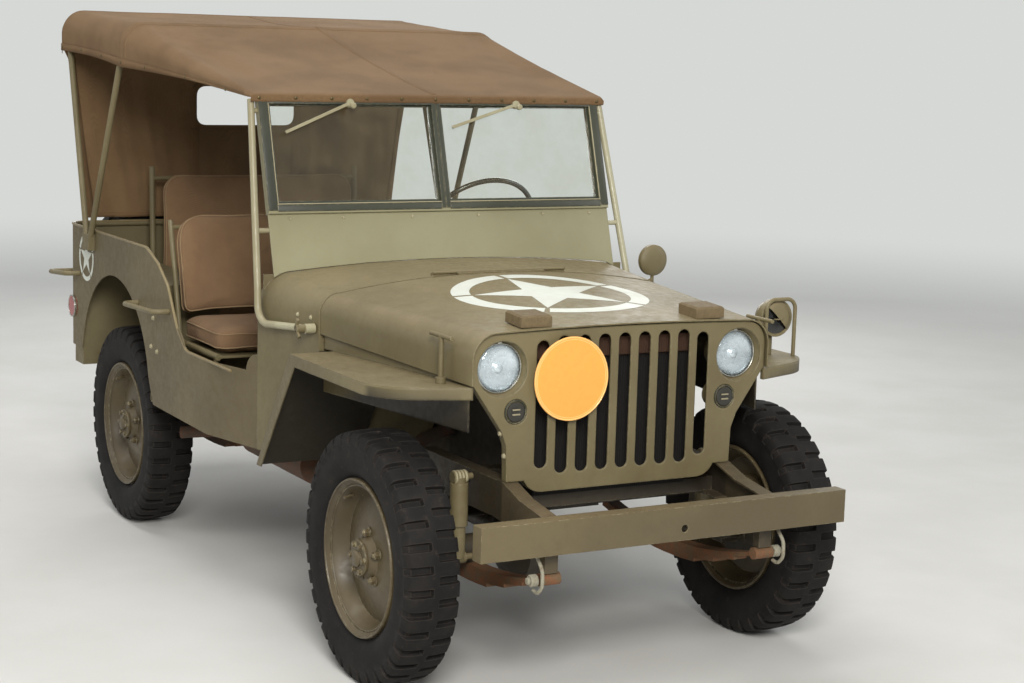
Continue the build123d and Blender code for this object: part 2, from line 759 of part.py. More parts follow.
with BuildPart() as floor:
    with BuildSketch(Plane.XY.offset(FLOOR_Z - SHEET)):
        plan_outline()
        offset(amount=-SHEET - HOUSE_GAP, mode=Mode.REPLACE)
        for side in (-1, 1):
            with Locations((side * (WHEELHOUSE_X + 10 + 200), station(WHEELHOUSE_START + 500))):
                Rectangle(400, 1000, mode=Mode.SUBTRACT)
    extrude(amount=SHEET)
    with BuildSketch(side_plane(-COWL_FRONT_X + 2 * SHEET)):
        Polygon(
            *side_points(
                (apron_station(FLOOR_Z) + TOE_GAP, FLOOR_Z - SHEET),
                (apron_station(FLOOR_Z) + TOE_GAP + SHEET + 3, FLOOR_Z - SHEET),
                (COWL_FRONT + SHEET + 3, TOE_TOP_Z),
                (COWL_FRONT, TOE_TOP_Z),
            ),
            align=None,
        )
    extrude(amount=2 * (COWL_FRONT_X - 2 * SHEET))
    tunnel_y = (station(COWL_FRONT), station(TUNNEL_END))
    block((-TUNNEL_HALF, TUNNEL_HALF), tunnel_y, (FLOOR_Z - SHEET, TUNNEL_TOP_Z))
    block(
        (-TUNNEL_HALF + SHEET, TUNNEL_HALF - SHEET),
        (tunnel_y[0] - 1, tunnel_y[1] - SHEET),
        (FLOOR_Z - SHEET - 1, TUNNEL_TOP_Z - SHEET),
        mode=Mode.SUBTRACT,
    )
    with BuildSketch(side_plane(-BODY_X)):
        Polygon(
            *side_points(
                (COWL_FRONT - 60, TOE_TOP_Z + 10),
                (apron_station(TOE_TOP_Z + 10) + TOE_GAP, TOE_TOP_Z + 10),
                (apron_station(FLOOR_Z - 20) + TOE_GAP, FLOOR_Z - 20),
                (COWL_FRONT - 60, FLOOR_Z - 20),
            ),
            align=None,
        )
    extrude(amount=2 * BODY_X, mode=Mode.SUBTRACT)
    with BuildSketch(Plane(origin=on_column(-2 * COLUMN_TO_TOE), z_dir=COLUMN_DIR)):
        Circle(COLUMN_R + 1)
    extrude(amount=2 * COLUMN_TO_TOE, mode=Mode.SUBTRACT)
save(floor, "floor")

# Cowl: a lofted shell from the hood's rear edge to the door opening, with the dash panel
COWL_SECTIONS = [
    # station, half width, top z in the middle, z where the crown ends, corner radius
    (COWL_FRONT, COWL_FRONT_X, 1068, 1022, 64),
    (DOOR_FRONT, DOOR_FRONT_X, 1071, 1046, 105),
]
COWL_BOTTOM_Z = SILL_Z
DASH_LOW_Z = 880
HOOD_PIVOT = 485.5
HOOD_PIVOT_Z = 1070
HINGE_R = 4
HINGE_HALF = 230
HINGE_MID_HALF = 150
HINGE_LEAF_LOW_Z = 1054


def hood_section(half, top, edge, radius, bottom, inset):
    """Cross-section with a crowned top, round shoulders and straight sides."""
    half = half - inset
    top = top - inset
    edge = edge - inset
    radius = radius - inset
    with BuildLine() as outline:
        crown = ThreePointArc((-half + radius, edge), (0, top), (half - radius, edge))
        right = RadiusArc(crown @ 1, (half, edge - radius), radius)
        left = RadiusArc(crown @ 0, (-half, edge - radius), -radius)
        Polyline(right @ 1, (half, bottom), (-half, bottom), left @ 1)
    make_face(outline.line)


with BuildPart() as cowl:
    for inset, mode in ((0, Mode.ADD), (SHEET, Mode.SUBTRACT)):
        for at, half, top, edge, radius in COWL_SECTIONS:
            reach = 0 if inset == 0 else (SHEET if at == COWL_FRONT else 1)
            with BuildSketch(cross_plane(station(at) + reach)):
                hood_section(half, top, edge, radius, COWL_BOTTOM_Z - inset, inset)
        loft(ruled=True, mode=mode)
    with BuildSketch(side_plane(-BODY_X)):
        Polygon(
            *side_points(
                (APRON_TOP - 100, FENDER_Z),
                (apron_station(FENDER_Z) + TOE_GAP, FENDER_Z),
                (apron_station(SILL_Z - 20) + TOE_GAP, SILL_Z - 20),
                (APRON_TOP - 100, SILL_Z - 20),
            ),
            align=None,
        )
    extrude(amount=2 * BODY_X, mode=Mode.SUBTRACT)
    block(
        (-COWL_FRONT_X + SHEET, COWL_FRONT_X - SHEET),
        (station(COWL_FRONT) - 1, station(COWL_FRONT) + SHEET + 5),
        (SILL_Z - 20, TOE_TOP_Z + FIT),
        mode=Mode.SUBTRACT,
    )
    block(
        (-DOOR_FRONT_X + SHEET + 8, DOOR_FRONT_X - SHEET - 8),
        (station(DOOR_FRONT) - 12, station(DOOR_FRONT) - 8),
        (DASH_LOW_Z, 1040),
    )
    block(
        (-HINGE_MID_HALF - 0.6, HINGE_MID_HALF + 0.6),
        (station(COWL_FRONT) - 1, station(COWL_FRONT) + HINGE_R),
        (HINGE_LEAF_LOW_Z - 4, HOOD_PIVOT_Z + 10),
        mode=Mode.SUBTRACT,
    )
    for side in (-1, 1):
        ends = sorted((side * (HINGE_MID_HALF + FIT), side * HINGE_HALF))
        rod(
            (ends[0], station(HOOD_PIVOT), HOOD_PIVOT_Z),
            (ends[1], station(HOOD_PIVOT), HOOD_PIVOT_Z),
            HINGE_R,
        )
        block(
            ends,
            (station(COWL_FRONT) + 0.5, station(COWL_FRONT) + 14),
            (HINGE_LEAF_LOW_Z, HOOD_PIVOT_Z - 1),
        )
save(cowl, "cowl")

# Front sheet metal: the two fenders with their lips, sloping aprons and inner walls
PLATE = 4
FENDER_X = 716
FENDER_LIP = 34
FENDER_FRONT = [
    # half width, station along the front edge, from the grille outwards
    (474, -246),
    (590, -203),
    (675, -150),
    (716, -60),
]
APRON_IN_X = 380
GRILLE_FRONT = -244
WALL_FRONT_X = 468
WALL_REAR_X = 588
WALL_LOW_Z = 730
WALL_LAP = 15
HOOD_FRONT = -254
HOOD_FRONT_SECTION = (482, 1011, 1003, 75)
HOOD_REAR_SECTION = (597, 1066, 1020, 62)
HOOD_SIDE_FRONT_Z = 861
HOOD_SIDE_REAR_Z = 901
HOOD_GAP = 3
GRILLE_FLANGE = 22


def wall_x(at):
    """Half-width of the fender's inner wall at a station."""
    share = (at - GRILLE_FRONT) / (COWL_FRONT - GRILLE_FRONT)
    return WALL_FRONT_X + share * (WALL_REAR_X - WALL_FRONT_X)


def fender_plan(side, inward, rearward):
    """Plan of a fender's flat top; the last two values stretch it over its inner and rear edges."""
    flange_end = GRILLE_FRONT + PLATE + GRILLE_FLANGE + 2
    first, second, third, fourth = [(side * x, station(at)) for x, at in FENDER_FRONT]
    with BuildLine() as outline:
        Line((first[0] - side * inward, first[1]), second)
        ThreePointArc(second, third, fourth)
        Polyline(
            fourth,
            (side * FENDER_X, station(APRON_TOP + rearward)),
            (side * (wall_x(APRON_TOP) - inward), station(APRON_TOP + rearward)),
            (side * (wall_x(flange_end) - inward), station(flange_end)),
            (first[0] - side * inward, station(flange_end)),
            (first[0] - side * inward, first[1]),
        )
    make_face(outline.line)


with BuildPart() as fenders:
    for side in (-1, 1):
        with BuildSketch(Plane.XY.offset(FENDER_Z - FENDER_LIP)):
            fender_plan(side, 0, 0)
        extrude(amount=FENDER_LIP)
        with BuildSketch(Plane.XY.offset(FENDER_Z - FENDER_LIP - 1)):
            fender_plan(side, 40, 40)
            offset(amount=-PLATE, mode=Mode.REPLACE)
        extrude(amount=FENDER_LIP + 1 - PLATE, mode=Mode.SUBTRACT)
        with BuildSketch(side_plane(side * APRON_IN_X)):
            Polygon(
                *side_points(
                    (APRON_TOP, FENDER_Z),
                    (APRON_BOTTOM, APRON_BOTTOM_Z),
                    (APRON_BOTTOM - 6, APRON_BOTTOM_Z),
                    (APRON_TOP - 6, FENDER_Z),
                ),
                align=None,
            )
        extrude(amount=side * (FENDER_X - APRON_IN_X))
        with BuildSketch(side_plane(side * (FENDER_X - PLATE))):
            Polygon(
                *side_points(
                    (APRON_TOP, FENDER_Z),
                    (APRON_BOTTOM, APRON_BOTTOM_Z),
                    (APRON_BOTTOM - FENDER_LIP, APRON_BOTTOM_Z),
                    (APRON_TOP - FENDER_LIP, FENDER_Z - FENDER_LIP),
                    (APRON_TOP - FENDER_LIP, FENDER_Z),
                ),
                align=None,
            )
        extrude(amount=side * PLATE)
        wall_start = GRILLE_FRONT + PLATE + GRILLE_FLANGE + FIT
        with BuildPart(mode=Mode.PRIVATE) as wall:
            with BuildSketch(Plane.XY.offset(WALL_LOW_Z)):
                Polygon(
                    (side * wall_x(wall_start), station(wall_start)),
                    (side * wall_x(COWL_FRONT - 8), station(COWL_FRONT - 8)),
                    (side * (wall_x(COWL_FRONT - 8) - PLATE), station(COWL_FRONT - 8)),
                    (side * (wall_x(wall_start) - PLATE), station(wall_start)),
                    align=None,
                )
            extrude(amount=HOOD_SIDE_REAR_Z)
            with BuildSketch(side_plane(-BODY_X)):
                Polygon(
                    *side_points(
                        (GRILLE_FRONT, WALL_LOW_Z),
                        (GRILLE_FRONT, HOOD_SIDE_FRONT_Z + WALL_LAP),
                        (COWL_FRONT, HOOD_SIDE_REAR_Z + WALL_LAP),
                        (COWL_FRONT, FENDER_Z),
                        (APRON_TOP, FENDER_Z),
                        (apron_station(WALL_LOW_Z), WALL_LOW_Z),
                    ),
                    align=None,
                )
            extrude(amount=2 * BODY_X, mode=Mode.INTERSECT)
        add(wall.part)
save(fenders, "fenders")

# Grille: a flanged plate with nine slots and round holes for head and marker lamps
GRILLE_TOP_Z = 1003
GRILLE_HALF = 474
GRILLE_CORNER_R = 66
GRILLE_EDGE_Z = 997
SLOT_COUNT = 9
SLOT_PITCH = 65
SLOT_WIDTH = 38
SLOT_TOP_Z = 982
SLOT_OUTER_TOP_Z = 972
SLOT_BOTTOM_Z = 603
SLOT_OUTER_BOTTOM_Z = 621
HEADLAMP_X = 385
HEADLAMP_Z = 901
HEADLAMP_HOLE_R = 75
MARKER_X = 341
MARKER_Z = 782
MARKER_HOLE_R = 34
GRILLE_SIDE = [
    # half width, z down the side
    (474, 862),
    (384, 732),
    (368, 690),
    (365, KICK_TOP_Z + FIT),
    (310, KICK_TOP_Z + FIT),
]
GRILLE_BOTTOM = (255, 555)
GRILLE_BOTTOM_R = 60.5
HOLE_BEVEL = 2.5


def grille_outline():
    corner_x = GRILLE_HALF - GRILLE_CORNER_R
    with BuildLine() as outline:
        ThreePointArc((-corner_x, GRILLE_EDGE_Z), (0, GRILLE_TOP_Z), (corner_x, GRILLE_EDGE_Z))
        for side in (-1, 1):
            bend = (side * GRILLE_HALF, GRILLE_EDGE_Z - GRILLE_CORNER_R)
            RadiusArc((side * corner_x, GRILLE_EDGE_Z), bend, side * GRILLE_CORNER_R)
            Polyline(bend, *[(side * x, z) for x, z in GRILLE_SIDE])
            step = (side * GRILLE_SIDE[-1][0], GRILLE_SIDE[-1][1])
            RadiusArc(step, (side * GRILLE_BOTTOM[0], GRILLE_BOTTOM[1]), side * GRILLE_BOTTOM_R)
        Line((-GRILLE_BOTTOM[0], GRILLE_BOTTOM[1]), GRILLE_BOTTOM)
    make_face(outline.line)


with BuildPart() as grille:
    with BuildSketch(cross_plane(station(GRILLE_FRONT))):
        grille_outline()
    extrude(amount=-PLATE - GRILLE_FLANGE)
    with BuildSketch(cross_plane(station(GRILLE_FRONT) + PLATE)):
        grille_outline()
        offset(amount=-PLATE, mode=Mode.REPLACE)
    extrude(amount=-GRILLE_FLANGE - 1, mode=Mode.SUBTRACT)
    with BuildSketch(cross_plane(station(GRILLE_FRONT) - 1)):
        for index in range(SLOT_COUNT):
            outer = index in (0, SLOT_COUNT - 1)
            top = SLOT_OUTER_TOP_Z if outer else SLOT_TOP_Z
            bottom = SLOT_OUTER_BOTTOM_Z if outer else SLOT_BOTTOM_Z
            with Locations(((index - (SLOT_COUNT - 1) / 2) * SLOT_PITCH, (top + bottom) / 2)):
                SlotOverall(top - bottom, SLOT_WIDTH, rotation=90)
        for side in (-1, 1):
            with Locations((side * HEADLAMP_X, HEADLAMP_Z)):
                Circle(HEADLAMP_HOLE_R)
            with Locations((side * MARKER_X, MARKER_Z)):
                Circle(MARKER_HOLE_R)
    extrude(amount=-PLATE - 2, mode=Mode.SUBTRACT)
    front_face = grille.faces().sort_by(Axis.Y)[0]
    chamfer([edge for hole in front_face.inner_wires() for edge in hole.edges()], length=HOLE_BEVEL)
save(grille, "grille")

# Radiator core with its tank, on the frame's second cross member
CORE_HALF = 250
CORE_Y = (station(-190), station(-135))
TANK_Y = (station(-204), station(-124))
TANK_LAP = 12
TANK_LOW_Z = 915
TANK_TOP_Z = 966

with BuildPart() as radiator:
    block((-CORE_HALF, CORE_HALF), CORE_Y, (CROSS_MEMBERS[1][3] + FIT, TANK_LOW_Z + 1))
    block((-CORE_HALF - TANK_LAP, CORE_HALF + TANK_LAP), TANK_Y, (TANK_LOW_Z, TANK_TOP_Z))
save(radiator, "radiator")

# Lamps behind the grille's holes
HEADLAMP_RECESS = 26
HEADLAMP_DEEP = 95
LENS_R = 66
LENS_DOME = 16

with BuildPart() as headlamp_shells:
    for side in (-1, 1):
        behind = station(GRILLE_FRONT) + PLATE + FIT
        face = station(GRILLE_FRONT) + HEADLAMP_RECESS
        with BuildSketch(Plane(origin=(side * HEADLAMP_X, 0, HEADLAMP_Z), x_dir=(1, 0, 0), z_dir=(0, 0, 1))):
            Polygon(
                (0, face + 6),
                (LENS_R + FIT, face + 6),
                (LENS_R + FIT, face - 2),
                (LENS_R + 4, face - 2),
                (HEADLAMP_HOLE_R + 2, behind),
                (HEADLAMP_HOLE_R + 6, behind),
                (LENS_R + 8, face + 14),
                (52, face + HEADLAMP_DEEP - 20),
                (30, face + HEADLAMP_DEEP),
                (0, face + HEADLAMP_DEEP),
                align=None,
            )
        revolve(axis=Axis((side * HEADLAMP_X, 0, HEADLAMP_Z), (0, 1, 0)))
save(headlamp_shells, "headlamp_shells")

with BuildPart() as headlamp_lenses:
    for side in (-1, 1):
        face = station(GRILLE_FRONT) + HEADLAMP_RECESS
        with BuildSketch(Plane(origin=(side * HEADLAMP_X, 0, HEADLAMP_Z), x_dir=(1, 0, 0), z_dir=(0, 0, 1))):
            Polygon(
                (0, face + 6 - FIT),
                (LENS_R, face + 6 - FIT),
                *[(LENS_R * cos(a), face - LENS_DOME * sin(a)) for a in (0, 0.25, 0.6, 1.0, 1.35)],
                (0, face - LENS_DOME),
                align=None,
            )
        revolve(axis=Axis((side * HEADLAMP_X, 0, HEADLAMP_Z), (0, 1, 0)))
save(headlamp_lenses, "headlamp_lenses")

with BuildPart() as marker_lamps:
    for side in (-1, 1):
        rod(
            (side * MARKER_X, station(GRILLE_FRONT) + PLATE + FIT, MARKER_Z),
            (side * MARKER_X, station(GRILLE_FRONT) + 60, MARKER_Z),
            MARKER_HOLE_R + 3,
        )
        rod(
            (side * MARKER_X, station(GRILLE_FRONT) + 2, MARKER_Z),
            (side * MARKER_X, station(GRILLE_FRONT) + 10, MARKER_Z),
            MARKER_HOLE_R - 6,
        )
save(marker_lamps, "marker_lamps")

LAMP_POST = (638, -50)
BLACKOUT_Z = 972
BLACKOUT_R = 56
HOOP_X = (590, 694)
HOOP_Y = -92
HOOP_Z = 1030
HOOP_R = 6

with BuildPart() as blackout_lamp:
    with BuildSketch(
        Plane(origin=(LAMP_POST[0], station(LAMP_POST[1]), BLACKOUT_Z), x_dir=(1, 0, 0), z_dir=(0, 0, 1))
    ):
        Polygon((0, -26), (BLACKOUT_R, -26), (BLACKOUT_R, -4), (44, 22), (22, 40), (0, 40), align=None)
    revolve(axis=Axis((LAMP_POST[0], station(LAMP_POST[1]), BLACKOUT_Z), (0, 1, 0)))
    rod(
        (LAMP_POST[0], station(LAMP_POST[1]) + 10, FENDER_Z + FIT),
        (LAMP_POST[0], station(LAMP_POST[1]) + 10, BLACKOUT_Z - 20),
        12,
    )
    tube(
        [
            (HOOP_X[0], station(HOOP_Y), FENDER_Z + FIT),
            (HOOP_X[0], station(HOOP_Y), HOOP_Z),
            (HOOP_X[1], station(HOOP_Y), HOOP_Z),
            (HOOP_X[1], station(HOOP_Y), FENDER_Z + FIT),
        ],
        30,
        HOOP_R,
    )
save(blackout_lamp, "blackout_lamp")

# Hood: a lofted shell with the middle knuckle of its hinge
with BuildPart() as hood:
    for inset, mode in ((0, Mode.ADD), (PLATE, Mode.SUBTRACT)):
        for at, section, reach in (
            (HOOD_FRONT, HOOD_FRONT_SECTION, -1),
            (COWL_FRONT - HOOD_GAP, HOOD_REAR_SECTION, 1),
        ):
            with BuildSketch(cross_plane(station(at) + (reach if inset else 0))):
                hood_section(*section, HOOD_SIDE_FRONT_Z - 10 - inset, inset)
        loft(ruled=True, mode=mode)
    with BuildSketch(side_plane(-BODY_X)):
        Polygon(
            *side_points(
                (HOOD_FRONT - 10, HOOD_SIDE_FRONT_Z - 30),
                (HOOD_FRONT - 10, HOOD_SIDE_FRONT_Z),
                (HOOD_FRONT, HOOD_SIDE_FRONT_Z),
                (COWL_FRONT, HOOD_SIDE_REAR_Z),
                (COWL_FRONT, HOOD_SIDE_FRONT_Z - 30),
            ),
            align=None,
        )
    extrude(amount=2 * BODY_X, mode=Mode.SUBTRACT)
    rod(
        (-HINGE_MID_HALF, station(HOOD_PIVOT), HOOD_PIVOT_Z),
        (HINGE_MID_HALF, station(HOOD_PIVOT), HOOD_PIVOT_Z),
        HINGE_R,
    )
    block(
        (-HINGE_MID_HALF, HINGE_MID_HALF),
        (station(HOOD_PIVOT) - 14, station(HOOD_PIVOT) - 2.5),
        (HINGE_LEAF_LOW_Z + 2, HOOD_PIVOT_Z - 1),
    )
save(hood, "hood")

# Wooden blocks on the hood that carry the folded windshield, and the catches beside the hood
BLOCK_X = (235, 330)
BLOCK_STATION = (-240, -150)
BLOCK_TALL = 32
CATCH_STATION = -150
CATCH_GAP = 12
CATCH_STEM_R = 7
CATCH_TOP_Z = 985
CATCH_BAR_HALF = 62
CATCH_BAR_R = 6


def hood_share(at):
    """How far a station lies from the hood's front to its rear edge, from 0 to 1."""
    return (at - HOOD_FRONT) / (COWL_FRONT - HOOD_GAP - HOOD_FRONT)


def hood_top_z(x, at):
    """Height of the hood's crown at a place."""
    half, top, edge, radius = [
        low + hood_share(at) * (high - low) for low, high in zip(HOOD_FRONT_SECTION, HOOD_REAR_SECTION)
    ]
    return top - (top - edge) * (x / (half - radius)) ** 2


with BuildPart() as hood_blocks:
    with BuildSketch(side_plane(BLOCK_X[0])):
        Polygon(
            *side_points(
                *[(at, hood_top_z(BLOCK_X[0], at) + FIT) for at in BLOCK_STATION],
                *[(at, hood_top_z(BLOCK_X[0], at) + BLOCK_TALL) for at in reversed(BLOCK_STATION)],
            ),
            align=None,
        )
    extrude(amount=BLOCK_X[1] - BLOCK_X[0])
    chamfer(hood_blocks.faces().sort_by(Axis.Z)[-1].edges(), length=5)
    mirror(about=Plane.YZ)
save(hood_blocks, "hood_blocks")

with BuildPart() as hood_catches:
    hood_widening = hood_share(CATCH_STATION) * (HOOD_REAR_SECTION[0] - HOOD_FRONT_SECTION[0])
    catch_x = HOOD_FRONT_SECTION[0] + hood_widening + CATCH_GAP + CATCH_STEM_R + CATCH_BAR_R
    rod(
        (catch_x, station(CATCH_STATION), FENDER_Z + FIT),
        (catch_x, station(CATCH_STATION), CATCH_TOP_Z),
        CATCH_STEM_R,
    )
    rod(
        (catch_x, station(CATCH_STATION), FENDER_Z + FIT),
        (catch_x, station(CATCH_STATION), FENDER_Z + 16),
        2 * CATCH_STEM_R,
    )
    rod(
        (catch_x, station(CATCH_STATION - CATCH_BAR_HALF), CATCH_TOP_Z),
        (catch_x, station(CATCH_STATION + CATCH_BAR_HALF), CATCH_TOP_Z),
        CATCH_BAR_R,
    )
    mirror(about=Plane.YZ)
save(hood_catches, "hood_catches")

# Windshield: sheet frame with a middle post, tubes at its sides, glass and wipers
WS_FOOT = 807
WS_FOOT_Z = 1027
WS_SLOPE = 0.3
WS_SIN = WS_SLOPE / hypot(1, WS_SLOPE)
WS_COS = 1 / hypot(1, WS_SLOPE)
WS_HALF = 612
WS_THICK = 26
WS_TOP_Z = 1578
WS_OPEN_TOP_Z = 1558
WS_OPEN_LOW_Z = 1244
WS_LOW_Z = 1218
WS_OPEN_X = 583
WS_POST_HALF = 12
GLASS_X = 572
GLASS_LOW_Z = 1256
GLASS_TOP_Z = 1547
GLASS_THICK = 6
GLASS_FRAME_THICK = 14


def windshield_plane(offset_forward=0):
    """Plane in the windshield: local x is +X, local y runs up the glass, and it extrudes forwards."""
    return Plane(
        origin=(0, station(WS_FOOT) - WS_COS * offset_forward, WS_FOOT_Z + WS_SIN * offset_forward),
        x_dir=(1, 0, 0),
        z_dir=(0, -WS_COS, WS_SIN),
    )


def up_glass(z):
    """Distance up the windshield plane of a height."""
    return (z - WS_FOOT_Z) / WS_COS


def panes(half, inner, low_z, top_z):
    """Two rectangles, one on either side of the middle post."""
    for side in (-1, 1):
        with Locations((side * (half + inner) / 2, (up_glass(low_z) + up_glass(top_z)) / 2)):
            Rectangle(half - inner, up_glass(top_z) - up_glass(low_z))


PANEL_BOTTOM = [
    # half width, z of the sheet's lower edge over the cowl
    (0, 1072),
    (150, 1070.4),
    (300, 1065),
    (450, 1055.6),
    (526, 1049.6),
    (565, 1046.8),
    (590, 1041),
    (WS_HALF, 1029),
]

with BuildPart() as windshield_frame:
    with BuildSketch(windshield_plane(-WS_THICK / 2)):
        with Locations((0, (up_glass(WS_LOW_Z) + up_glass(WS_TOP_Z)) / 2)):
            Rectangle(2 * WS_HALF, up_glass(WS_TOP_Z) - up_glass(WS_LOW_Z))
        for side in (-1, 1):
            opening_x = side * (WS_OPEN_X + WS_POST_HALF) / 2
            with Locations((opening_x, up_glass((WS_OPEN_LOW_Z + WS_OPEN_TOP_Z) / 2))):
                Rectangle(
                    WS_OPEN_X - WS_POST_HALF,
                    up_glass(WS_OPEN_TOP_Z) - up_glass(WS_OPEN_LOW_Z),
                    mode=Mode.SUBTRACT,
                )
    extrude(amount=WS_THICK)
    with BuildSketch(windshield_plane(-2)):
        Polygon(
            (-WS_HALF, up_glass(WS_LOW_Z) + 2),
            *[(-x, up_glass(z)) for x, z in reversed(PANEL_BOTTOM[1:])],
            *[(x, up_glass(z)) for x, z in PANEL_BOTTOM],
            (WS_HALF, up_glass(WS_LOW_Z) + 2),
            align=None,
        )
    extrude(amount=PLATE)
save(windshield_frame, "windshield_frame")

WS_TUBE_R = 11
WS_TUBE = [
    # half width, station, z, from the pivot to the top
    (626, 508, 915),
    (670, 790, 895),
    (666, 806, 1000),
    (629, 970, 1566),
]

CLIP_SHARES = [0.3, 0.94]

with BuildPart() as windshield_tubes:
    tube([(x, station(at), z) for x, at, z in WS_TUBE], 60, WS_TUBE_R)
    for share in CLIP_SHARES:
        clip_x, clip_at, clip_z = [
            low + share * (top - low) for low, top in zip(WS_TUBE[2], WS_TUBE[3])
        ]
        rod((WS_HALF + FIT, station(clip_at), clip_z), (clip_x, station(clip_at), clip_z), 8)
    rod(
        (COWL_FRONT_X + 6.5, station(WS_TUBE[0][1]), WS_TUBE[0][2]),
        (WS_TUBE[0][0] + WS_TUBE_R, station(WS_TUBE[0][1]), WS_TUBE[0][2]),
        15,
    )
    mirror(about=Plane.YZ)
save(windshield_tubes, "windshield_tubes")

with BuildPart() as glass_frames:
    with BuildSketch(windshield_plane(-GLASS_FRAME_THICK / 2)):
        panes(WS_OPEN_X - FIT, WS_POST_HALF + FIT, WS_OPEN_LOW_Z + FIT, WS_OPEN_TOP_Z - FIT)
        for side in (-1, 1):
            inner = WS_POST_HALF + WS_OPEN_X - GLASS_X
            with Locations((side * (GLASS_X + inner) / 2, up_glass((GLASS_LOW_Z + GLASS_TOP_Z) / 2))):
                Rectangle(
                    GLASS_X - inner, up_glass(GLASS_TOP_Z) - up_glass(GLASS_LOW_Z), mode=Mode.SUBTRACT
                )
    extrude(amount=GLASS_FRAME_THICK)
save(glass_frames, "glass_frames")

with BuildPart() as windshield_glass:
    with BuildSketch(windshield_plane(-GLASS_THICK / 2)):
        panes(
            GLASS_X - FIT, WS_POST_HALF + WS_OPEN_X - GLASS_X + FIT, GLASS_LOW_Z + FIT, GLASS_TOP_Z - FIT
        )
    extrude(amount=GLASS_THICK)
save(windshield_glass, "windshield_glass")

WIPERS = [
    # x and z of the pivot, x and z of the tip
    (-305, 1552, -534, 1461),
    (295, 1552, 49, 1478),
]

with BuildPart() as wipers:
    for pivot_x, pivot_z, tip_x, tip_z in WIPERS:
        first = (pivot_x, up_glass(pivot_z))
        last = (tip_x, up_glass(tip_z))
        long = hypot(last[0] - first[0], last[1] - first[1])
        lean = degrees(atan2(last[1] - first[1], last[0] - first[0]))
        with BuildSketch(windshield_plane(WS_THICK / 2 + 8)):
            with Locations(Location(((first[0] + last[0]) / 2, (first[1] + last[1]) / 2), lean)):
                Rectangle(long, 10)
        extrude(amount=5)
        with BuildSketch(windshield_plane(WS_THICK / 2 + FIT)):
            with Locations(first):
                Circle(13)
        extrude(amount=14)
save(wipers, "wipers")

# Front seats: welded frames with legs and padded cushions
SEAT_IN_X = 250
SEAT_OUT_X = 674
SEAT_TUBE_R = 11
SEAT_LEG_R = 9
SEAT_PAN_Z = 735
SEAT_FRONT = 1140
SEAT_BACK_LOW = 1500
CUSHION_TOP_Z = 828
BACK_TOP_Z = 1162
BACK_LEAN = 75
BACK_THICK = 70


def front_seat_frame(side):
    """Welded frame of a front seat, standing on a cross tube that it can tip about."""
    low_x, high_x = sorted((side * SEAT_IN_X, side * SEAT_OUT_X))
    left_x = low_x + SEAT_TUBE_R + 2
    right_x = high_x - SEAT_TUBE_R - 2
    pivot = (station(SEAT_FRONT + 30), FLOOR_Z + SEAT_LEG_R + FIT)
    block(
        (low_x + 12, high_x - 12),
        (station(SEAT_FRONT + 8), station(SEAT_BACK_LOW - 10)),
        (SEAT_PAN_Z - 8, SEAT_PAN_Z),
    )
    rod((low_x, *pivot), (high_x, *pivot), SEAT_LEG_R)
    for x in (left_x, right_x):
        rod((x, *pivot), (x, pivot[0], SEAT_PAN_Z - 6), SEAT_LEG_R - 1)
        rod(
            (x, station(SEAT_BACK_LOW - 30), FLOOR_Z + FIT),
            (x, station(SEAT_BACK_LOW - 30), SEAT_PAN_Z - 6),
            SEAT_LEG_R,
        )
        rod(
            (x, station(SEAT_FRONT + 10), SEAT_PAN_Z - 4),
            (x, station(SEAT_BACK_LOW + 20), SEAT_PAN_Z - 4),
            SEAT_TUBE_R,
        )
        rod(
            (x, station(SEAT_BACK_LOW + 10), SEAT_PAN_Z - 2),
            (x, station(SEAT_BACK_LOW + 38 + BACK_LEAN), BACK_TOP_Z - 30),
            SEAT_LEG_R,
        )
    rod(
        (left_x, station(SEAT_BACK_LOW + 30 + BACK_LEAN), BACK_TOP_Z - 54),
        (right_x, station(SEAT_BACK_LOW + 30 + BACK_LEAN), BACK_TOP_Z - 54),
        SEAT_LEG_R - 2,
    )


def front_seat_cushions(side):
    """Seat and back cushions of a front seat."""
    low_x, high_x = sorted((side * SEAT_IN_X, side * SEAT_OUT_X))
    block(
        (low_x, high_x),
        (station(SEAT_FRONT - 10), station(SEAT_BACK_LOW - 20)),
        (SEAT_PAN_Z - 4 + SEAT_TUBE_R + FIT, CUSHION_TOP_Z),
    )
    low_z = CUSHION_TOP_Z + FIT
    shift = BACK_LEAN * (low_z - SEAT_PAN_Z) / (BACK_TOP_Z - SEAT_PAN_Z)
    low_front = SEAT_BACK_LOW - BACK_THICK + shift - 4
    top_front = SEAT_BACK_LOW - BACK_THICK + BACK_LEAN + 22
    with BuildSketch(side_plane(low_x)) as back:
        Polygon(
            *side_points(
                (low_front, low_z),
                (low_front + BACK_THICK, low_z),
                (top_front + BACK_THICK, BACK_TOP_Z),
                (top_front, BACK_TOP_Z),
            ),
            align=None,
        )
    extrude(back.sketch, amount=high_x - low_x)


with BuildPart() as seat_frame_passenger:
    front_seat_frame(-1)
save(seat_frame_passenger, "seat_frame_passenger")

with BuildPart() as seat_cushions_passenger:
    front_seat_cushions(-1)
save(seat_cushions_passenger, "seat_cushions_passenger")

# Fuel tank under the driver's seat
with BuildPart() as fuel_tank:
    block(
        (SEAT_IN_X + 35, SEAT_OUT_X - 35),
        (station(SEAT_FRONT + 55), station(SEAT_BACK_LOW - 50)),
        (FLOOR_Z + FIT, SEAT_PAN_Z - 23),
    )
save(fuel_tank, "fuel_tank")

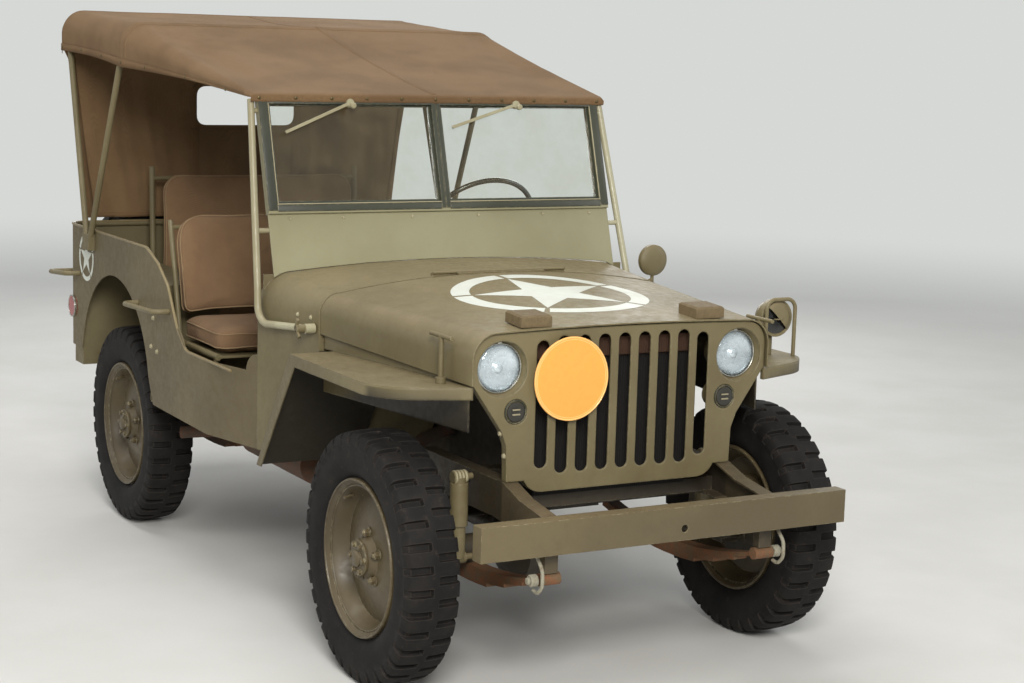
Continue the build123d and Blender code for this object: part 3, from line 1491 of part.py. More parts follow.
# Rear bench, in the same nodes as the driver's seat
BENCH_HALF = 405
BENCH_POST_X = 424
BENCH_LEG_X = BENCH_HALF - 20
BENCH_PAN_Z = 700
BENCH_FRONT = BODY_END - 560
BENCH_DEEP = 385
BENCH_POST = (BENCH_FRONT + 430, BENCH_FRONT + 460)
BENCH_POST_TOP_Z = 1250
BENCH_BAR_Z = 1205
BENCH_TOP_Z = 810
BENCH_BACK = [
    # distance behind the cushion's front, z
    (378, 830),
    (438.5, 830),
    (449.3, 1232),
    (393, 1232),
]

with BuildPart() as seat_frames:
    front_seat_frame(1)
    block(
        (-BENCH_POST_X + 4, BENCH_POST_X - 4),
        (station(BENCH_FRONT - 30), station(BENCH_FRONT + BENCH_DEEP + 15)),
        (BENCH_PAN_Z - 8, BENCH_PAN_Z),
    )
    for side in (-1, 1):
        rod(
            (side * BENCH_POST_X, station(BENCH_POST[0]), FLOOR_Z + 1),
            (side * BENCH_POST_X, station(BENCH_POST[1]), BENCH_POST_TOP_Z),
            SEAT_TUBE_R,
        )
        rod(
            (side * BENCH_POST_X, station(BENCH_FRONT - 34), BENCH_PAN_Z - 4),
            (side * BENCH_POST_X, station(BENCH_POST[0] + 7), BENCH_PAN_Z - 4),
            SEAT_LEG_R,
        )
        rod(
            (side * BENCH_LEG_X, station(BENCH_FRONT - 10), FLOOR_Z + FIT),
            (side * BENCH_LEG_X, station(BENCH_FRONT - 10), BENCH_PAN_Z - 4),
            SEAT_LEG_R,
        )
    rod(
        (-BENCH_POST_X, station(BENCH_POST[1] - 2), BENCH_BAR_Z),
        (BENCH_POST_X, station(BENCH_POST[1] - 2), BENCH_BAR_Z),
        SEAT_LEG_R,
    )
save(seat_frames, "seat_frames")

with BuildPart() as seat_cushions:
    front_seat_cushions(1)
    block(
        (-BENCH_HALF, BENCH_HALF),
        (station(BENCH_FRONT), station(BENCH_FRONT + BENCH_DEEP)),
        (BENCH_PAN_Z + FIT, BENCH_TOP_Z),
    )
    with BuildSketch(side_plane(-BENCH_HALF)):
        Polygon(*side_points(*[(BENCH_FRONT + behind, z) for behind, z in BENCH_BACK]), align=None)
    extrude(amount=2 * BENCH_HALF)
save(seat_cushions, "seat_cushions")

# Top bows and the canvas stretched over them
BOW_R = 11
BOW_FOOT_X = 738
BOW_FOOT_Z = 1000
BOW_BEND = 70
BOW_TOP = BODY_END - 695
BOWS = [
    # station of the foot, station of the top
    (BODY_END - 330, BOW_TOP),
    (BODY_END - 290, BODY_END - 8),
]
BRACKET_STATION = (BOWS[0][0] - 15, BOWS[1][0] + 20)
BRACKET_Z = (960, 1020)
CANVAS = 5
CANVAS_LAP = 22.3
CANVAS_FRONT = WS_FOOT + WS_SLOPE * (WS_TOP_Z - WS_FOOT_Z) - CANVAS_LAP
CANVAS_END = BODY_END + 11
SHOULDER_R = BOW_BEND + BOW_R + 3
CANVAS_ROOF = [
    # station, half width, z of the roof, z of the lower edge, radius of the shoulders
    (CANVAS_FRONT, 640, 1590, 1573, 14),
    (BOW_TOP, 738, 1795, 1638, SHOULDER_R),
    (CANVAS_END, 742, 1835, 1682, SHOULDER_R),
]


def along_roof(at, column):
    """Value of a column of CANVAS_ROOF at a station."""
    for before, after in zip(CANVAS_ROOF, CANVAS_ROOF[1:]):
        if at <= after[0]:
            share = (at - before[0]) / (after[0] - before[0])
            return before[column] + share * (after[column] - before[column])
    return CANVAS_ROOF[-1][column]


with BuildPart() as top_bows:
    for foot_at, top_at in BOWS:
        top_z = along_roof(top_at, 2) - CANVAS - BOW_R - 1
        top_x = along_roof(top_at, 1) - CANVAS - BOW_R - 3
        tube(
            [
                (-BOW_FOOT_X, station(foot_at), BOW_FOOT_Z),
                (-top_x, station(top_at), top_z),
                (top_x, station(top_at), top_z),
                (BOW_FOOT_X, station(foot_at), BOW_FOOT_Z),
            ],
            BOW_BEND,
            BOW_R,
        )
    for side in (-1, 1):
        block(
            sorted((side * (BODY_X + FIT), side * (BOW_FOOT_X + BOW_R + FIT))),
            [station(at) for at in BRACKET_STATION],
            BRACKET_Z,
        )
save(top_bows, "top_bows")

CURTAIN_LOW_Z = 1048
WINDOW_HALF = 205
WINDOW_LOW_Z = 1404
WINDOW_TOP_Z = 1555
WINDOW_CORNER = 40
CURTAIN_SIDE = [
    # half width, z down the curtain's side
    (CANVAS_ROOF[-1][1] - 4, CANVAS_ROOF[-1][3] + 10),
    (CANVAS_ROOF[-1][1] - 4, CANVAS_ROOF[-1][3]),
    (700, 1650),
    (578, CURTAIN_LOW_Z),
]


def canvas_section(half, roof, edge, shoulder):
    """Cross-section of the canvas: a flat roof with round shoulders and short sides."""
    with BuildLine() as outline:
        Line((-half + shoulder, roof), (half - shoulder, roof))
        RadiusArc((half - shoulder, roof), (half, roof - shoulder), shoulder)
        Polyline((half, roof - shoulder), (half, edge), (-half, edge), (-half, roof - shoulder))
        RadiusArc((-half, roof - shoulder), (-half + shoulder, roof), shoulder)
    make_face(outline.line)


with BuildPart() as canvas_top:
    for inset, mode in ((0, Mode.ADD), (CANVAS, Mode.SUBTRACT)):
        for at, half, roof, edge, shoulder in CANVAS_ROOF:
            inward = {CANVAS_FRONT: inset, CANVAS_END: -inset}.get(at, 0)
            with BuildSketch(cross_plane(station(at) + inward)):
                canvas_section(half - inset, roof - inset, edge - 6 * inset, shoulder - inset)
        loft(ruled=True, mode=mode)
    with BuildSketch(cross_plane(station(CANVAS_END))):
        Polygon(*CURTAIN_SIDE, *[(-x, z) for x, z in reversed(CURTAIN_SIDE)], align=None)
    extrude(amount=CANVAS)
    with BuildSketch(cross_plane(station(CANVAS_END) + 1)):
        with Locations((0, (WINDOW_LOW_Z + WINDOW_TOP_Z) / 2)):
            RectangleRounded(2 * WINDOW_HALF, WINDOW_TOP_Z - WINDOW_LOW_Z, WINDOW_CORNER)
    extrude(amount=CANVAS + 2, mode=Mode.SUBTRACT)
save(canvas_top, "canvas_top")

# Handles, lamps and fittings on the body
HANDLE_R = 9
HANDLE_OUT_X = 778
HANDLE_BEND = 28
SIDE_HANDLE = [
    # station, z of the side handle's ends
    (WHEELBASE - 588, 843),
    (WHEELBASE - 268, 832),
]
CORNER_HANDLE_FRONT = BODY_END - 154
CORNER_HANDLE_REAR = BODY_END + 70
CORNER_HANDLE_Z = (855, 838)

with BuildPart() as grab_handles:
    (front_at, front_z), (rear_at, rear_z) = SIDE_HANDLE
    tube(
        [
            (BODY_X + FIT, station(front_at), front_z),
            (HANDLE_OUT_X, station(front_at), front_z),
            (HANDLE_OUT_X, station(rear_at), rear_z),
            (BODY_X + FIT, station(rear_at), rear_z),
        ],
        HANDLE_BEND,
        HANDLE_R,
    )
    side_z, back_z = CORNER_HANDLE_Z
    tube(
        [
            (BODY_X + FIT, station(CORNER_HANDLE_FRONT), side_z),
            (HANDLE_OUT_X - 2, station(CORNER_HANDLE_FRONT), side_z),
            (HANDLE_OUT_X - 2, station(CORNER_HANDLE_REAR), back_z),
            (TAIL_HALF - 10, station(CORNER_HANDLE_REAR), back_z),
            (TAIL_HALF - 10, station(BODY_END) + FIT, back_z),
        ],
        HANDLE_BEND,
        HANDLE_R,
    )
    mirror(about=Plane.YZ)
save(grab_handles, "grab_handles")

LAMPS = [
    # half width, z, radius of the rear reflectors and of the tail lamps
    (520, 700, 40),
    (560, 900, 36),
]
SIDE_REFLECTOR = (BODY_END - 84, 722)
REFLECTOR_THICK = 10
TAIL_LAMP_THICK = 34

with BuildPart() as reflectors:
    half, z, radius = LAMPS[0]
    at, side_z = SIDE_REFLECTOR
    rod((BODY_X + FIT, station(at), side_z), (BODY_X + REFLECTOR_THICK, station(at), side_z), radius)
    rod((half, station(BODY_END) + FIT, z), (half, station(BODY_END) + REFLECTOR_THICK, z), radius)
    mirror(about=Plane.YZ)
save(reflectors, "reflectors")

with BuildPart() as tail_lamps:
    half, z, radius = LAMPS[1]
    rod((half, station(BODY_END) + FIT, z), (half, station(BODY_END) + TAIL_LAMP_THICK, z), radius)
    mirror(about=Plane.YZ)
save(tail_lamps, "tail_lamps")

# Towing jaw behind the frame's last cross member, and the two small bumpers beside it
JAW_PLATE_HALF = 70
JAW_HALF = 12
JAW_NECK_R = 22
JAW_Z = 462
JAW_PROFILE = [
    # distance behind the rails' ends, z
    (50, 445),
    (50, 485),
    (70, 505),
    (100, 500),
    (105, 480),
    (78, 478),
    (78, 458),
    (110, 458),
    (110, 440),
    (60, 436),
]
BUMPERETTE_Z = (455, 560)
BUMPERETTE_ARM_Z = (455, 495)
BUMPERETTE_OUT = 30
BUMPERETTE_THICK = 10
BUMPERETTE_LONG = 130

with BuildPart() as tow_gear:
    block(
        (-JAW_PLATE_HALF, JAW_PLATE_HALF),
        (station(CROSS_MEMBERS[-1][0] + CROSS_MEMBERS[-1][1] / 2) + FIT, station(RAIL_END) + 8),
        (CROSS_MEMBERS[-1][2], CROSS_MEMBERS[-1][3]),
    )
    rod((0, station(RAIL_END) + 4, JAW_Z), (0, station(RAIL_END) + 60, JAW_Z), JAW_NECK_R)
    with BuildSketch(side_plane(-JAW_HALF)):
        Polygon(*side_points(*[(RAIL_END + behind, z) for behind, z in JAW_PROFILE]), align=None)
    extrude(amount=2 * JAW_HALF)
    bumperette_front = station(BODY_END + BUMPERETTE_OUT)
    inner_x = RAIL_OUT_X - RAIL_WIDTH
    for side in (-1, 1):
        block(
            sorted((side * inner_x, side * (RAIL_OUT_X + BUMPERETTE_LONG))),
            (bumperette_front, bumperette_front + BUMPERETTE_THICK),
            BUMPERETTE_Z,
        )
        block(
            sorted((side * inner_x, side * RAIL_OUT_X)),
            (station(RAIL_END) + FIT, bumperette_front + 1),
            BUMPERETTE_ARM_Z,
        )
save(tow_gear, "tow_gear")

# Driver's mirror on its arm
MIRROR_R = 52
MIRROR_THICK = 14
MIRROR_ARM_R = 7
MIRROR_FOOT = (645.8, station(748), 955)
MIRROR_ELBOW = (732, station(750), 985)
MIRROR_CENTRE = (732, station(750), 1051)

with BuildPart() as mirror_arm:
    rod(MIRROR_FOOT, MIRROR_ELBOW, MIRROR_ARM_R)
    rod((MIRROR_ELBOW[0], MIRROR_ELBOW[1], MIRROR_ELBOW[2] - MIRROR_ARM_R), MIRROR_CENTRE, MIRROR_ARM_R - 1)
    rod(
        (MIRROR_CENTRE[0], MIRROR_CENTRE[1] - MIRROR_THICK / 2, MIRROR_CENTRE[2]),
        (MIRROR_CENTRE[0], MIRROR_CENTRE[1] + MIRROR_THICK / 2, MIRROR_CENTRE[2]),
        MIRROR_R,
    )
save(mirror_arm, "mirror")

# Steering wheel, column and the driver's levers
RIM_RADIUS = 205
RIM_TUBE_R = 9

with BuildPart() as steering_wheel:
    disc_plane = Plane(origin=on_column(0), x_dir=(1, 0, 0), z_dir=COLUMN_DIR)
    with BuildSketch(Plane(origin=on_column(0), x_dir=(1, 0, 0), z_dir=(0, -COLUMN_DIR[2], COLUMN_DIR[1]))):
        with Locations((RIM_RADIUS, 0)):
            Circle(RIM_TUBE_R)
    revolve(axis=Axis(on_column(0), COLUMN_DIR))
    with BuildSketch(disc_plane.offset(-26)):
        Circle(30)
    extrude(amount=34)
    with BuildSketch(disc_plane.offset(-6)):
        for index in range(3):
            with Locations(Location((0, 0), 90 + 120 * index)):
                with Locations((RIM_RADIUS / 2, 0)):
                    Rectangle(RIM_RADIUS - 4, 20)
    extrude(amount=8)
save(steering_wheel, "steering_wheel")

LEVER_R = 8
LEVER_KNOB_R = 20
LEVERS = [
    # x, station of the foot, station and z of the knob
    (20, 900, 1010, 905),
    (-60, 985, 1040, 835),
    (-110, 985, 1040, 835),
]

with BuildPart() as steering_column:
    rod(on_column(-26 - FIT), on_column(-COLUMN_LONG), COLUMN_R)
    for x, at, top_at, top_z in LEVERS:
        dip = LEVER_R * (top_at - at) / hypot(top_at - at, top_z - TUNNEL_TOP_Z)
        rod((x, station(at), TUNNEL_TOP_Z + FIT + dip), (x, station(top_at), top_z), LEVER_R)
        with Locations((x, station(top_at), top_z)):
            Sphere(LEVER_KNOB_R)
save(steering_column, "steering_column")

DISC_X = -181
DISC_Z = 867
DISC_R = 116
DISC_STANDOFF = 18

with BuildPart() as sign_disc:
    disc_front = station(GRILLE_FRONT) - DISC_STANDOFF
    rod((DISC_X, disc_front - 2, DISC_Z), (DISC_X, disc_front, DISC_Z), DISC_R)
    for off in (-16, 16):
        rod(
            (DISC_X + off, disc_front - 1, DISC_Z + 60),
            (DISC_X + off, station(GRILLE_FRONT) - FIT, DISC_Z + 60),
            6,
        )
save(sign_disc, "sign_disc")
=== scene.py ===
"""Army 4x4 car: finishes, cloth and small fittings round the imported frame, in metres.

+Y is to the rear, +X to the car's left, +Z up. station() turns a distance behind the front axle into Y.
"""

import json
import math

import bmesh
import bpy
from mathutils import Matrix, Vector, noise
from mathutils.bvhtree import BVHTree


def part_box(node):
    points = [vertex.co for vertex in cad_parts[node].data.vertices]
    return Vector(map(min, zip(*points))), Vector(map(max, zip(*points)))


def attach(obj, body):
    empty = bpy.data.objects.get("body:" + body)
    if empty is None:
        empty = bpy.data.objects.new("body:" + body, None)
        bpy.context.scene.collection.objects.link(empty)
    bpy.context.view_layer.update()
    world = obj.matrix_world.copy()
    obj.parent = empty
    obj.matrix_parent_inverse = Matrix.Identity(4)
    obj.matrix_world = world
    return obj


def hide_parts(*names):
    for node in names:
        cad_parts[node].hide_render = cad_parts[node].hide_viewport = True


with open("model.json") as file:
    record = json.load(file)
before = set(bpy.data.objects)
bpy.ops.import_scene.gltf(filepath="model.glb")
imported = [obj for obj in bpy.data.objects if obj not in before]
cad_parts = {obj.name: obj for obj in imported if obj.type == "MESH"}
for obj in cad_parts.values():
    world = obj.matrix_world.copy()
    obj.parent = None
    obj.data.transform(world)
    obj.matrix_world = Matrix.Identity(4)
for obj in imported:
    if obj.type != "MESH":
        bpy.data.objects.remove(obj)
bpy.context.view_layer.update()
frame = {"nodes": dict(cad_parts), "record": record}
nodes = frame["nodes"]

# Driving places, read from the frame
WHEEL_LOW, WHEEL_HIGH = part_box("tyre_front_left")
FRONT_AXLE_Y = (WHEEL_LOW.y + WHEEL_HIGH.y) / 2
AXLE_Z = (WHEEL_LOW.z + WHEEL_HIGH.z) / 2
UP = Vector((0, 0, 1))
FRONT = (0, -1, 0)
REAR = (0, 1, 0)


def station(behind_front_axle):
    return FRONT_AXLE_Y + behind_front_axle


# Materials


def colour(red, green, blue):
    """Linear colour of a value seen on a screen, each part from 0 to 255."""
    parts = [c / 255 for c in (red, green, blue)]
    return (*[p / 12.92 if p <= 0.04045 else ((p + 0.055) / 1.055) ** 2.4 for p in parts], 1)


class Finish:
    """One procedural material; patterns are in the piece's own metres."""

    def __init__(self, name, roughness=0.7, metallic=0.0, **sockets):
        self.material = bpy.data.materials.new(name)
        self.material.use_nodes = True
        self.tree = self.material.node_tree
        self.tree.nodes.clear()
        self.out = self.add("OutputMaterial")
        self.shader = self.add("BsdfPrincipled")
        self.put(self.out.inputs[0], self.shader.outputs[0])
        self.set("Roughness", roughness)
        self.set("Metallic", metallic)
        for socket, value in sockets.items():
            self.set(socket.replace("_", " "), value)
        coords = self.add("TexCoord")
        self.place = coords.outputs["Object"]
        self.facing = coords.outputs["Normal"]

    def add(self, kind, *inputs, **settings):
        """A node; each input is a socket and its value, which may be another node's output."""
        node = self.tree.nodes.new(f"ShaderNode{kind}")
        for setting, value in settings.items():
            setattr(node, setting, value)
        for socket, value in inputs:
            self.put(node.inputs[socket], value)
        return node

    def put(self, socket, value):
        if isinstance(value, bpy.types.NodeSocket):
            self.tree.links.new(value, socket)
        else:
            socket.default_value = value

    def set(self, socket, value):
        self.put(self.shader.inputs[socket], value)

    def noise(self, scale, detail=4.0, rough=0.6, stretch=None, warp=0.0):
        place = self.place
        if stretch:
            place = self.add("Mapping", ("Vector", place), ("Scale", stretch)).outputs[0]
        sockets = ("Vector", "Scale", "Detail", "Roughness", "Distortion")
        return self.add("TexNoise", *zip(sockets, (place, scale, detail, rough, warp))).outputs["Fac"]

    def wave(self, scale, direction, warp=0.0, detail=2.0, detail_scale=1.0):
        sockets = ("Vector", "Scale", "Distortion", "Detail", "Detail Scale")
        inputs = zip(sockets, (self.place, scale, warp, detail, detail_scale))
        return self.add("TexWave", *inputs, wave_type="BANDS", bands_direction=direction).outputs["Fac"]

    def axis(self, name, source=None):
        return self.add("SeparateXYZ", (0, source or self.place)).outputs[name]

    def span(self, value, low, high, start=0.0, end=1.0):
        """Smooth step from start to end while the value goes from low to high."""
        inputs = enumerate((value, low, high, start, end))
        return self.add("MapRange", *inputs, interpolation_type="SMOOTHSTEP").outputs[0]

    def maths(self, kind, first, second=0.5):
        return self.add("Math", (0, first), (1, second), operation=kind).outputs[0]

    def mix(self, share, first, second):
        return self.add("Mix", (0, share), (6, first), (7, second), data_type="RGBA").outputs[2]

    def bump(self, height, depth, strength=1.0, base=None):
        inputs = [("Distance", depth), ("Strength", strength), ("Height", height)]
        if base is not None:
            inputs.append(("Normal", base))
        return self.add("Bump", *inputs).outputs[0]

    def soft_edges(self, radius):
        return self.add("Bevel", ("Radius", radius), samples=4).outputs[0]

    def edge_share(self, radius):
        """1 on outer and inner edges, 0 on flats."""
        flat = self.add("NewGeometry").outputs["True Normal"]
        dot = self.add("VectorMath", (0, self.soft_edges(radius)), (1, flat), operation="DOT_PRODUCT")
        return self.span(dot.outputs["Value"], 0.97, 0.80)


DUST = colour(158, 140, 108)
ROAD_DIRT = colour(74, 62, 45)
# near-black painted shade for the front wheel arches and the panels behind the front wheels
ARCH_SHADE = colour(30, 26, 21)
# pale edge colour: worn paint and painted highlight along the edges
EDGE_WEAR_AND_HIGHLIGHT = colour(168, 158, 126)
ARCH_CLEAR_R, ARCH_SHADED_R = 0.56, 0.46
ARCH_HALF_WIDTH = 0.716


def paint(name, base, shade, dust=0.35, grime=0.5, worn=0.5, rough=0.52, round_edge=0.003, arch_shade=0.0):
    """Army paint: chalky dust on what faces up, road dirt low down, painted shade in the front wheel arches and on the
    panels behind them, pale edges that are partly wear and partly painted highlight.
    """
    made = Finish(name, roughness=rough, Specular_IOR_Level=0.45)
    broad = made.noise(2.2, 5, 0.55)
    mottled = made.noise(38, 6, 0.7)
    tone = made.mix(made.span(broad, 0.35, 0.65), base, shade)
    tone = made.mix(made.span(mottled, 0.45, 0.75, 0, 0.22), tone, shade)
    up = made.span(made.axis("Z", made.facing), 0.25, 0.95)
    settled = made.maths("MULTIPLY", up, made.span(made.noise(9, 5, 0.65), 0.3, 0.75, 0.3, 1.0))
    tone = made.mix(made.maths("MULTIPLY", settled, dust), tone, DUST)
    low = made.span(made.axis("Z"), 0.95, 0.2)
    splash = made.maths("MULTIPLY", low, made.span(made.noise(26, 7, 0.75), 0.42, 0.66))
    tone = made.mix(made.maths("MULTIPLY", splash, grime), tone, ROAD_DIRT)
    # painted shade: near-black inside the front wheel arches and on the forward-facing panels just behind them, where
    # little light reaches
    if arch_shade:
        behind = made.maths("SUBTRACT", made.axis("Y"), FRONT_AXLE_Y)
        above = made.maths("SUBTRACT", made.axis("Z"), AXLE_Z)
        squared = [made.maths("MULTIPLY", value, value) for value in (behind, above)]
        near = made.span(made.maths("ADD", *squared), ARCH_CLEAR_R**2, ARCH_SHADED_R**2)
        inside = made.span(made.maths("ABSOLUTE", made.axis("X"), 0), ARCH_HALF_WIDTH, ARCH_HALF_WIDTH - 0.010)
        shaded = made.maths("MULTIPLY", made.maths("MULTIPLY", near, inside), made.span(behind, -0.238, -0.232))
        facing = made.span(made.axis("Y", made.facing), -0.20, -0.45)
        plate = made.maths("MULTIPLY", facing, made.span(behind, 0.10, 0.16))
        shaded = made.maths("MAXIMUM", shaded, made.maths("MULTIPLY", plate, inside))
        shaded = made.maths("MULTIPLY", shaded, made.span(above, 0.500, 0.495))
        tone = made.mix(made.maths("MULTIPLY", shaded, arch_shade), tone, ARCH_SHADE)
    # pale edges: worn paint and painted highlight; the worn argument sets how strong
    edge_wear_and_highlight = made.maths("MULTIPLY", made.edge_share(0.004), made.span(made.noise(60, 5, 0.7), 0.45, 0.62))
    tone = made.mix(made.maths("MULTIPLY", edge_wear_and_highlight, worn), tone, EDGE_WEAR_AND_HIGHLIGHT)
    made.set("Base Color", tone)
    made.set("Roughness", made.span(mottled, 0.3, 0.7, rough - 0.1, rough + 0.12))
    made.set("Normal", made.bump(mottled, 0.0005, 0.4, made.soft_edges(round_edge)))
    return made.material


def rusty(name, base, rust, share=(0.4, 0.62)):
    """Bare or thinly painted steel with rust in patches."""
    made = Finish(name, roughness=0.75, metallic=0.15)
    patches = made.noise(30, 7, 0.75, warp=0.6)
    grains = made.noise(240, 4, 0.7)
    tone = made.mix(made.span(patches, *share), base, rust)
    tone = made.mix(made.span(grains, 0.45, 0.7, 0, 0.35), tone, colour(48, 36, 28))
    made.set("Base Color", tone)
    made.set("Normal", made.bump(made.maths("ADD", patches, grains), 0.0012, 0.6, made.soft_edges(0.002)))
    return made.material


def rubber(name):
    made = Finish(name, roughness=0.78, Specular_IOR_Level=0.22)
    fine = made.noise(320, 4, 0.6)
    broad = made.noise(14, 5, 0.6)
    tone = made.mix(made.span(broad, 0.35, 0.7), colour(18, 17, 17), colour(31, 28, 26))
    facing = made.edge_share(0.005)
    tone = made.mix(made.maths("MULTIPLY", facing, 0.35), tone, colour(80, 72, 64))
    tone = made.mix(made.span(made.noise(46, 6, 0.7), 0.56, 0.8, 0, 0.5), tone, colour(78, 64, 50))
    made.set("Base Color", tone)
    made.set("Normal", made.bump(fine, 0.0005, 0.5, made.soft_edges(0.002)))
    return made.material


def cloth(name, base, shade, weave=900.0, stain=colour(92, 74, 54), stained=0.35):
    """Woven cloth: two thread directions, slubs, sun fading and stains."""
    made = Finish(name, roughness=0.92, Specular_IOR_Level=0.12, Sheen_Weight=0.04, Sheen_Roughness=0.5)
    warp = made.wave(weave, "X", 0.6, 2, 3)
    weft = made.wave(weave, "Y", 0.6, 2, 3)
    rise = made.wave(weave, "Z", 0.6, 2, 3)
    threads = made.maths("MULTIPLY", made.maths("ADD", warp, weft), made.maths("ADD", rise, 0.6))
    slubs = made.noise(520, 3, 0.6, stretch=(1, 0.2, 1))
    faded = made.noise(3.0, 5, 0.6)
    tone = made.mix(made.span(faded, 0.35, 0.68), base, shade)
    tone = made.mix(made.span(slubs, 0.4, 0.75, 0, 0.35), tone, shade)
    tone = made.mix(made.span(threads, 0.2, 1.8, 0.25, 0), tone, colour(70, 55, 40))
    tone = made.mix(made.span(made.noise(7, 6, 0.7, warp=0.5), 0.55, 0.75, 0, stained), tone, stain)
    made.set("Base Color", tone)
    base_normal = made.bump(made.noise(42, 4, 0.6), 0.0025, 0.5)
    made.set("Normal", made.bump(made.maths("ADD", threads, slubs), 0.0006, 0.6, base_normal))
    return made.material


def glass(name, tint, dust=0.12):
    """Clear glass under a thin film of dust."""
    made = Finish(name)
    made.tree.nodes.remove(made.shader)
    mirrored = made.add("Fresnel", ("IOR", 1.35))
    clear = made.add("BsdfTransparent", ("Color", tint))
    shine = made.add("BsdfGlossy", ("Roughness", 0.03))
    clean = made.add("MixShader", *enumerate(node.outputs[0] for node in (mirrored, clear, shine)))
    film = made.add("BsdfDiffuse", ("Color", DUST))
    share = made.span(made.noise(6, 6, 0.7), 0.3, 0.8, dust * 0.2, dust)
    blend = made.add("MixShader", (0, share), (1, clean.outputs[0]), (2, film.outputs[0]))
    made.put(made.out.inputs[0], blend.outputs[0])
    return made.material


def lamp_glass(name):
    """Moulded lens: bright reflector behind fluted glass."""
    made = Finish(name, roughness=0.16, metallic=0.55, Coat_Weight=1.0, Coat_Roughness=0.05)
    flutes = made.wave(55, "X", 0.0, 0)
    tone = made.mix(made.span(flutes, 0.2, 0.8), colour(205, 218, 222), colour(128, 146, 154))
    tone = made.mix(made.span(made.noise(30, 5, 0.6), 0.5, 0.8, 0, 0.4), tone, colour(90, 102, 108))
    made.set("Base Color", tone)
    made.set("Normal", made.bump(flutes, 0.0015, 0.8))
    return made.material


def plain(name, base, rough, metallic=0.0, coat=0.0, variation=0.3, depth=0.0004):
    """Small fittings: slightly uneven colour and surface."""
    made = Finish(name, roughness=rough, metallic=metallic, Coat_Weight=coat)
    uneven = made.noise(70, 5, 0.65)
    darker = (*[c * 0.6 for c in base[:3]], 1)
    made.set("Base Color", made.mix(made.span(uneven, 0.35, 0.75, 0, variation), base, darker))
    made.set("Roughness", made.span(uneven, 0.3, 0.7, max(rough - 0.08, 0.02), rough + 0.1))
    made.set("Normal", made.bump(uneven, depth, 0.5, made.soft_edges(0.0015)))
    return made.material


def core(name):
    """Radiator core: fine upright tubes crossed by closer fins."""
    made = Finish(name, roughness=0.7, metallic=0.4)
    fins = made.wave(160, "Z", 0.0, 0)
    tubes = made.wave(42, "X", 0.0, 0)
    pattern = made.maths("MULTIPLY", fins, made.span(tubes, 0.2, 0.6, 0.35, 1))
    tank = made.span(made.axis("Z"), 0.905, 0.92)
    grid = made.mix(made.span(pattern, 0.2, 0.8), colour(12, 11, 10), colour(40, 34, 28))
    brass = made.mix(made.noise(16, 5, 0.6), colour(92, 62, 42), colour(60, 42, 32))
    made.set("Base Color", made.mix(tank, grid, brass))
    made.set("Normal", made.bump(pattern, 0.002, 0.8))
    return made.material


OLIVE = colour(113, 103, 74)
OLIVE_SHADE = colour(98, 88, 61)
MATERIALS = {
    "body_paint": paint("BodyPaint", OLIVE, OLIVE_SHADE, dust=0.3, grime=0.25),
    # the chassis paint carries the painted shade of the front wheel arches
    "chassis_paint": paint("ChassisPaint", colour(78, 68, 49), colour(56, 49, 36), 0.25, 0.8, 0.6, arch_shade=0.6),
    # wheel paint: its pale edges give the rim's ridges a painted highlight as well as wear
    "wheel_paint": paint("WheelPaint", colour(86, 75, 52), colour(68, 58, 40), 0.12, 0.35, 0.9, 0.42),
    "tyre": rubber("Tyre"),
    "canvas": cloth("Canvas", colour(140, 113, 82), colour(124, 98, 70), stained=0.25),
    "seat_fabric": cloth("CushionCloth", colour(150, 120, 90), colour(130, 102, 76), stained=0.35),
    "dark_frame": plain("DarkFrame", colour(44, 42, 36), 0.55),
    "windshield_glass": glass("WindshieldGlass", (0.93, 0.96, 0.94, 1)),
    "lamp_glass": lamp_glass("LampGlass"),
    # windshield tubes: pale worn paint, made paler still as a painted highlight along the tubes
    "worn_tube": paint("WornTubeAndHighlight", colour(172, 168, 140), colour(140, 132, 104), 0.2, 0.1, 0.9, 0.36),
    "spring_steel": rusty("SpringSteel", colour(104, 82, 58), colour(124, 78, 48)),
    "exhaust_steel": rusty("ExhaustSteel", colour(78, 66, 54), colour(94, 60, 40)),
    "radiator_metal": core("RadiatorCore"),
    "red_reflector": plain("RedReflector", colour(168, 26, 22), 0.18, 0.0, 1.0),
    "black_plastic": plain("BlackPlastic", colour(22, 22, 22), 0.25, 0.0, 0.6),
    "black_paint": plain("BlackPaint", colour(44, 42, 34), 0.45),
    "orange_paint": plain("OrangePaint", colour(240, 164, 74), 0.5, 0.0, 0.1, 0.12),
    "wood": plain("WoodBlock", colour(106, 90, 62), 0.75, 0.0, 0.0, 0.6, 0.0012),
}
WHITE = paint("WhiteMarking", colour(216, 220, 210), colour(198, 200, 188), 0.10, 0.1, 0.0)
BRIGHT = plain("BrightRim", colour(190, 190, 182), 0.22, 0.9)
WORN = paint("WornRim", colour(176, 168, 138), colour(150, 142, 114), 0.1, 0.1, 0.8)

slot_of = {part["node"]: part["material_slot"] for part in frame["record"]["subparts"]}
body_of = {node: body for body, members in frame["record"]["behaviour"]["bodies"].items() for node in members}


# Making meshes


def linked(name, data):
    """An object in the scene."""
    item = bpy.data.objects.new(name, data)
    bpy.context.scene.collection.objects.link(item)
    return item


def mesh_of(name, made):
    mesh = bpy.data.meshes.new(name)
    made.to_mesh(mesh)
    made.free()
    return mesh


def finish_mesh(name, mesh, slot, body, material=None, smooth=35):
    """Links a mesh as a piece that rides on a body."""
    piece = linked(name, mesh)
    mesh.materials.clear()
    mesh.materials.append(material or MATERIALS[slot])
    if smooth:
        for face in mesh.polygons:
            face.use_smooth = True
        split = piece.modifiers.new("Crisp", "EDGE_SPLIT")
        split.split_angle = math.radians(smooth)
    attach(piece, body)
    return piece


def from_bmesh(name, made, slot, body, material=None, smooth=35):
    bmesh.ops.recalc_face_normals(made, faces=made.faces)
    return finish_mesh(name, mesh_of(name, made), slot, body, material, smooth)


